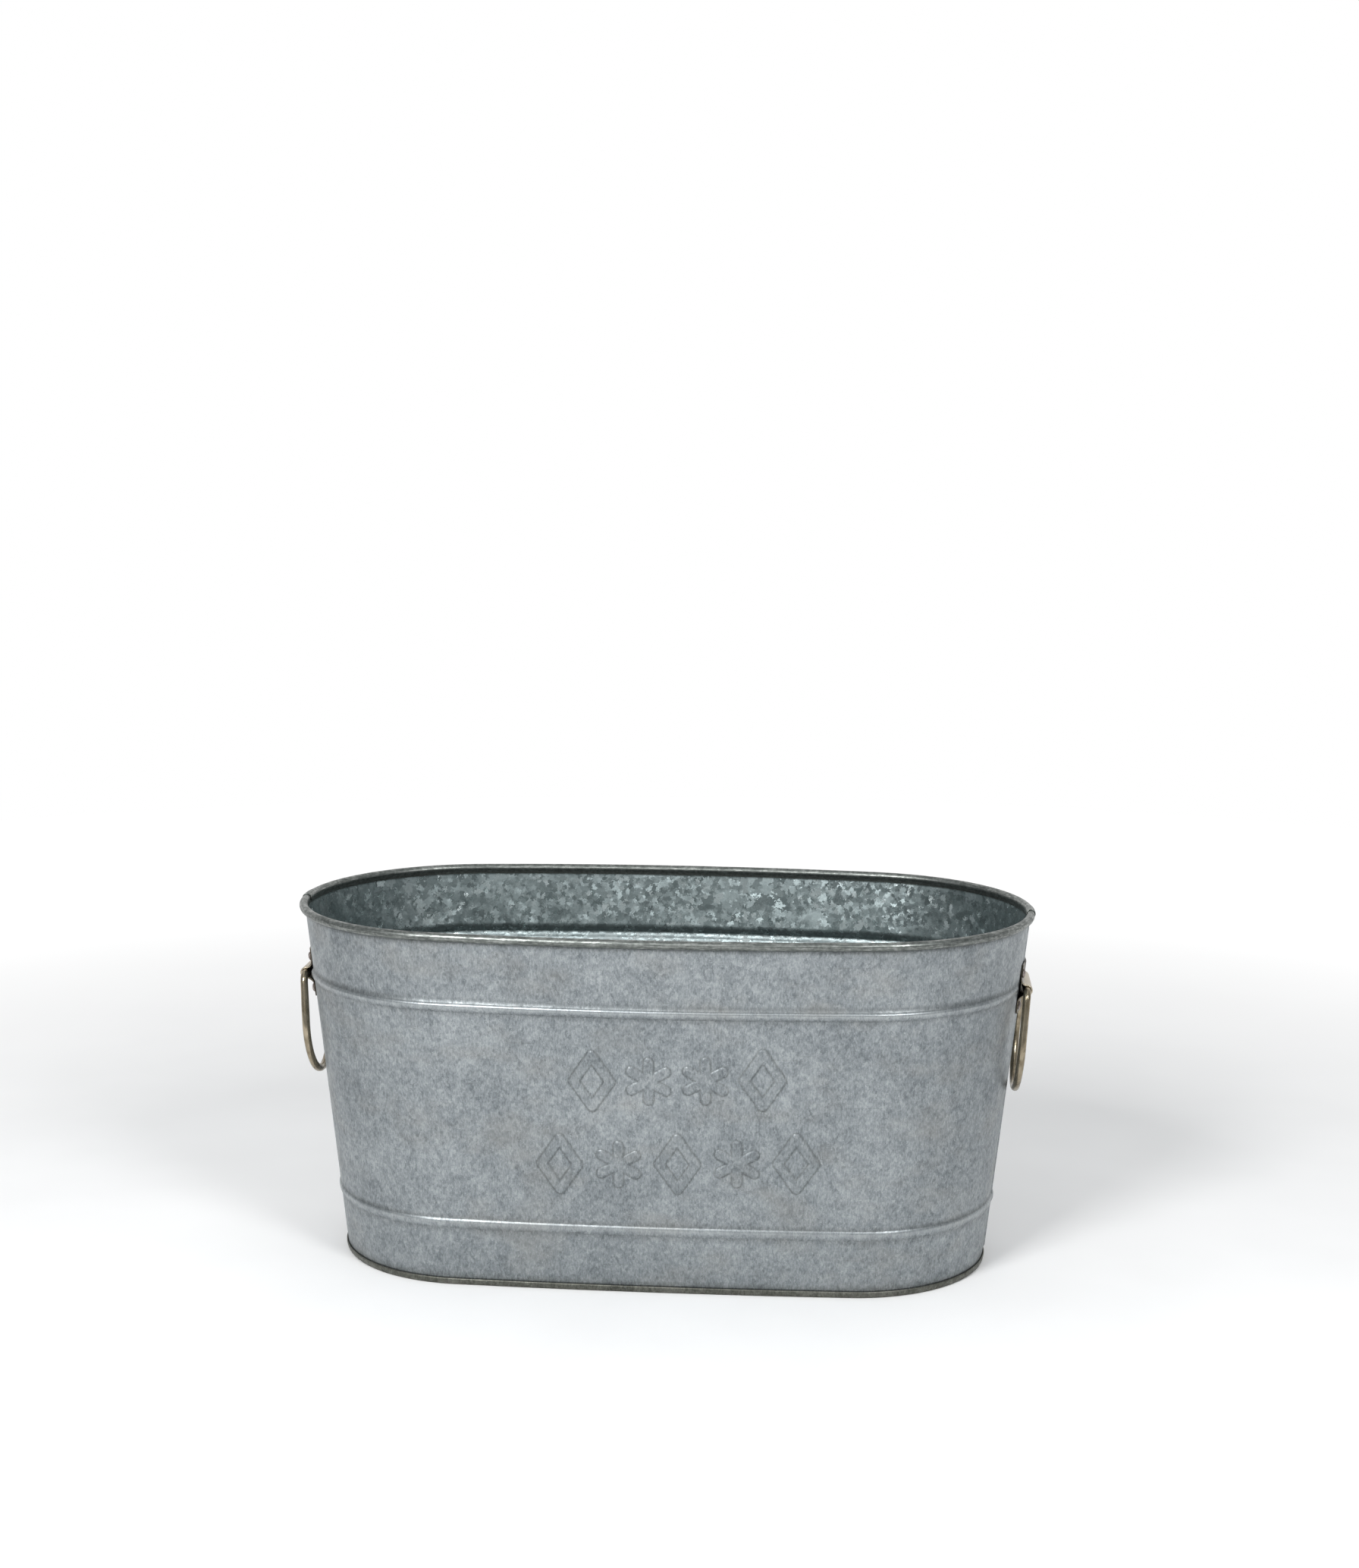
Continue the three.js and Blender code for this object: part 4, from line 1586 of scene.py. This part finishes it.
    def build_rivet(self, name: str, place: Matrix, seed: float) -> bpy.types.Object:
        """Makes a rivet: domed head outside, flattened tail inside.

        Args:
            name: the piece's name.
            place: where it goes, +Z outward from the wall's outer face.
            seed: what makes its hammer marks its own.

        Returns:
            The object.
        """
        base = self.clearance + self.strap
        tail = -self.wall_sheet
        dome = [(math.cos(a), math.sin(a)) for a in np.radians(np.linspace(8, 84, 9))]
        r, h, rim = self.head_radius, self.head_height, self.head_rim
        t, d, shank = self.tail_radius, self.tail_height, self.shank_radius
        profile = [
            (0, tail - d), (t - 0.9 * MM, tail - d), (t - 0.2 * MM, tail - 0.75 * d),
            (t, tail - 0.35 * d), (t - 0.05 * MM, tail), (shank, tail),
            (shank, base), (r * 0.97, base), (r, base + rim),
            *[(r * c, base + rim + (h - rim) * s) for c, s in dome],
            (0, base + h),
        ]
        around = 28
        a = np.linspace(0, 2 * math.pi, around, endpoint=False)
        ring = np.array(profile)
        points = np.stack([
            np.outer(np.cos(a), ring[:, 0]), np.outer(np.sin(a), ring[:, 0]),
            np.tile(ring[:, 1], (around, 1))], axis=-1)
        dent = wander(points, self.dent_size, seed) * self.dent_depth
        points[..., 2] += dent * (points[..., 2] > base + 0.5 * MM)
        flat = points.reshape(-1, 3)
        m = np.array(place)
        world = flat @ m[:3, :3].T + m[:3, 3]
        obj = mesh_from(name, world, grid_faces(len(profile), around, wrap_columns=True), 45.0)
        merge(obj)
        return obj

    def build_and_dress(self, finishes: "Finishes") -> list[bpy.types.Object]:
        """Builds the ring, the strap and the rivets and ties them to the frame.

        Args:
            finishes: the tub's materials.

        Returns:
            The pieces.
        """
        word = self.word
        ring = self.build_ring()
        ring.data.materials.append(finishes.ring)
        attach(ring, f"{word}_ring")
        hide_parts(f"{word}_handle_ring")
        strap = self.build_strap()
        strap.data.materials.append(finishes.strap)
        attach(strap, "tub")
        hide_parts(f"{word}_handle_bracket")
        pieces = [ring, strap]
        for i, (corner, place) in enumerate(self.rivet_places()):
            rivet = self.build_rivet(f"{word}_rivet_head_{corner}", place, 20.0 + i * 3 + self.side)
            rivet.data.materials.append(finishes.rivet)
            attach(rivet, "tub")
            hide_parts(f"{word}_rivet_{corner}")
            pieces.append(rivet)
        return pieces


def smooth_line(line: Array, times: int) -> Array:
    """Rounds the corners of a line by averaging, with its ends kept.

    Args:
        line: points, in order.
        times: how many times it is averaged.

    Returns:
        As many points.
    """
    for _ in range(times):
        inner = 0.25 * line[:-2] + 0.5 * line[1:-1] + 0.25 * line[2:]
        line = np.concatenate([line[:1], inner, line[-1:]])
    return line


# ---------------------------------------------------------------------------
# Studio
# ---------------------------------------------------------------------------


@dataclass(frozen=True)
class Softbox:
    """A square lamp aimed at the tub."""

    name: str
    azimuth: float  # degrees from straight in front, positive to the right
    elevation: float
    distance: float
    width: float
    height: float
    power: float

    def build(self, target: Vector) -> None:
        """Places the lamp.

        Args:
            target: what it points at.
        """
        data = bpy.data.lights.new(self.name, "AREA")
        data.shape = "RECTANGLE"
        data.size, data.size_y = self.width, self.height
        data.energy = self.power
        a, e = math.radians(self.azimuth), math.radians(self.elevation)
        back = Vector((math.sin(a) * math.cos(e), -math.cos(a) * math.cos(e), math.sin(e)))
        lamp = bpy.data.objects.new(self.name, data)
        lamp.location = target + back * self.distance
        lamp.rotation_mode = "QUATERNION"
        lamp.rotation_quaternion = back.to_track_quat("Z", "Y")
        lamp.visible_camera = False
        bpy.context.scene.collection.objects.link(lamp)


@dataclass(frozen=True)
class Studio:
    """A pale floor, soft lamps and the camera."""

    floor_radius: float = 2.2
    glow_from: float = 0.55
    glow_full: float = 1.35
    distance: float = 1.8376
    elevation: float = 8.78
    azimuth: float = 4.77
    roll: float = 0.32
    look_at: tuple[float, float, float] = (0.0105, 0.0, 0.3629)
    lens: float = 55.73
    lamps: tuple[Softbox, ...] = (
        Softbox("key", -25, 33, 2.2, 0.6, 0.9, 33),
        Softbox("second", 36, 34, 2.3, 0.5, 0.8, 19),
        Softbox("overhead", 0, 84, 2.2, 2.2, 1.6, 6),
    )

    def build_floor(self) -> bpy.types.Object:
        """Makes a round floor of matt white paper whose outer part glows.

        Returns:
            The floor.
        """
        around, rings = 96, 12
        a = np.linspace(0, 2 * math.pi, around, endpoint=False)
        r = np.linspace(0, self.floor_radius, rings)
        points = np.stack(
            [np.outer(np.cos(a), r), np.outer(np.sin(a), r), np.zeros((around, rings))], axis=-1
        )
        floor = mesh_from("paper_floor", points, grid_faces(rings, around, wrap_columns=True))
        merge(floor)
        p = Pattern("matt_white_paper")
        tone = p.cloud((160, 160, 160), 2.0, 0.5, 0.3, 0.7)
        colour = p.graded(tone, (0.0, "#EFEFEF"), (1.0, "#F3F3F3"))
        away = add_node(p.tree, "VectorMath", {0: p.place}, operation="LENGTH").outputs["Value"]
        glow = add_node(
            p.tree, "MapRange", {0: away, 1: self.glow_from, 2: self.glow_full}
        ).outputs[0]
        colour = p.tinted(colour, "#000000", glow)
        shader = add_node(
            p.tree, "BsdfPrincipled",
            {"Base Color": colour, "Roughness": 0.9, "Emission Color": linear("#FFFFFF"),
             "Emission Strength": glow},
        )
        add_node(p.tree, "OutputMaterial", {"Surface": shader.outputs[0]})
        floor.data.materials.append(p.material)
        return floor

    def build_camera(self) -> None:
        """Sets up the camera at the studio's viewing angle."""
        a, e, k = (math.radians(d) for d in (self.azimuth, self.elevation, self.roll))
        back = Vector((math.sin(a) * math.cos(e), -math.cos(a) * math.cos(e), math.sin(e)))
        right = (-back).cross(Vector((0, 0, 1))).normalized()
        up = right.cross(-back)
        right, up = (right * math.cos(k) + up * math.sin(k),
                     up * math.cos(k) - right * math.sin(k))
        data = bpy.data.cameras.new("camera")
        data.lens = self.lens
        camera = bpy.data.objects.new("camera", data)
        camera.matrix_world = Matrix.Translation(
            Vector(self.look_at) + back * self.distance
        ) @ Matrix((right, up, back)).transposed().to_4x4()
        bpy.context.scene.collection.objects.link(camera)
        bpy.context.scene.camera = camera

    def build_world(self) -> None:
        """Sets the room's own light: pale behind, dimmer at the sides and front."""
        world = bpy.data.worlds.new("room")
        bpy.context.scene.world = world
        world.use_nodes = True
        tree = world.node_tree
        tree.nodes.clear()
        way = add_node(tree, "TexCoord").outputs["Generated"]
        split = add_node(tree, "SeparateXYZ", {0: way})
        behind = add_node(tree, "MapRange", {0: split.outputs[1], 1: 0.1, 2: 0.7, 3: 0.0, 4: 1.0})
        colour = add_node(
            tree, "Mix", {0: behind.outputs[0], 6: linear("#A4A7A9"), 7: linear("#F2F2F2")},
            data_type="RGBA",
        ).outputs[2]
        seen = add_node(tree, "LightPath").outputs["Is Camera Ray"]
        shown = add_node(
            tree, "Mix", {0: seen, 6: colour, 7: linear("#FFFFFF")}, data_type="RGBA"
        ).outputs[2]
        light = add_node(tree, "Background", {"Color": shown, "Strength": 1.0})
        add_node(tree, "OutputWorld", {"Surface": light.outputs[0]})

    def build(self) -> None:
        """Builds the whole studio."""
        self.build_camera()
        self.build_floor()
        self.build_world()
        for lamp in self.lamps:
            lamp.build(Vector((0, 0, 0.15)))
        bpy.context.scene.view_settings.view_transform = "Standard"


# ---------------------------------------------------------------------------
# Putting it together
# ---------------------------------------------------------------------------


class Finishes:
    """The tub's materials, made once and shared."""

    def __init__(self) -> None:
        """Makes each material."""
        self.outside = WeatheredZinc().make()
        self.inside = SpangledZinc().make()
        self.rolled = RolledZinc().make()
        # The hem's zinc is a darker copy of the outside's: painted shade where the pan meets the
        # floor.
        self.hem = WeatheredZinc(
            name="galvanised_steel_hemmed", light="#8C8C84", middle="#6E6F67", dark="#4C4D47"
        ).make()
        self.ring = HandledNickel("nickel_plate_on_wire").make()
        # The strap's nickel is painted much darker than the ring's: a painted dark reflection on
        # its leaves.
        self.strap = HandledNickel(
            "nickel_plate_on_strap", light="#6F675B", dark="#37322B", roughness=(0.24, 0.38)
        ).make()
        self.rivet = UpsetSteel("rivet_steel_headed").make()
        self.wire = UpsetSteel("steel_wire_drawn", light="#B4B3AC", dark="#8A8983").make()


def plan_from_frame() -> OvalPlan:
    """The oval, sized from the frame's own walls.

    Returns:
        The oval.
    """
    low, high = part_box("front_shell")
    _, back_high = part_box("back_shell")
    return OvalPlan(length=high.x - low.x, width=back_high.y - low.y, height=high.z)


def hinge_of(word: str) -> Vector:
    """Place of a handle's hinge, from the frame's joints."""
    joint = next(j for j in frame["joints"] if j["child"] == f"{word}_ring")
    return Vector(joint["pos_m"])


def main() -> None:
    """Builds the studio, the tub and its handles."""
    logging.basicConfig(level=logging.INFO, format="%(message)s")
    Studio().build()
    finishes = Finishes()
    plan = plan_from_frame()
    pieces = []
    for face, name in ((Face.FRONT, "front_wall"), (Face.BACK, "back_wall")):
        wall = TubWall(plan, face)
        obj = wall.build(name)
        wall.dress(obj, finishes)
        pieces.append(obj)
    for part, name in ((FootPan(plan), "foot_pan"), (RimWire(plan), "rim_wire_core")):
        obj = part.build(name)
        part.dress(obj, finishes)
        pieces.append(obj)
    for word, side in PAIR:
        pieces += RingHandle(plan, word, side, hinge_of(word)).build_and_dress(finishes)


if __name__ == "__main__":
    main()
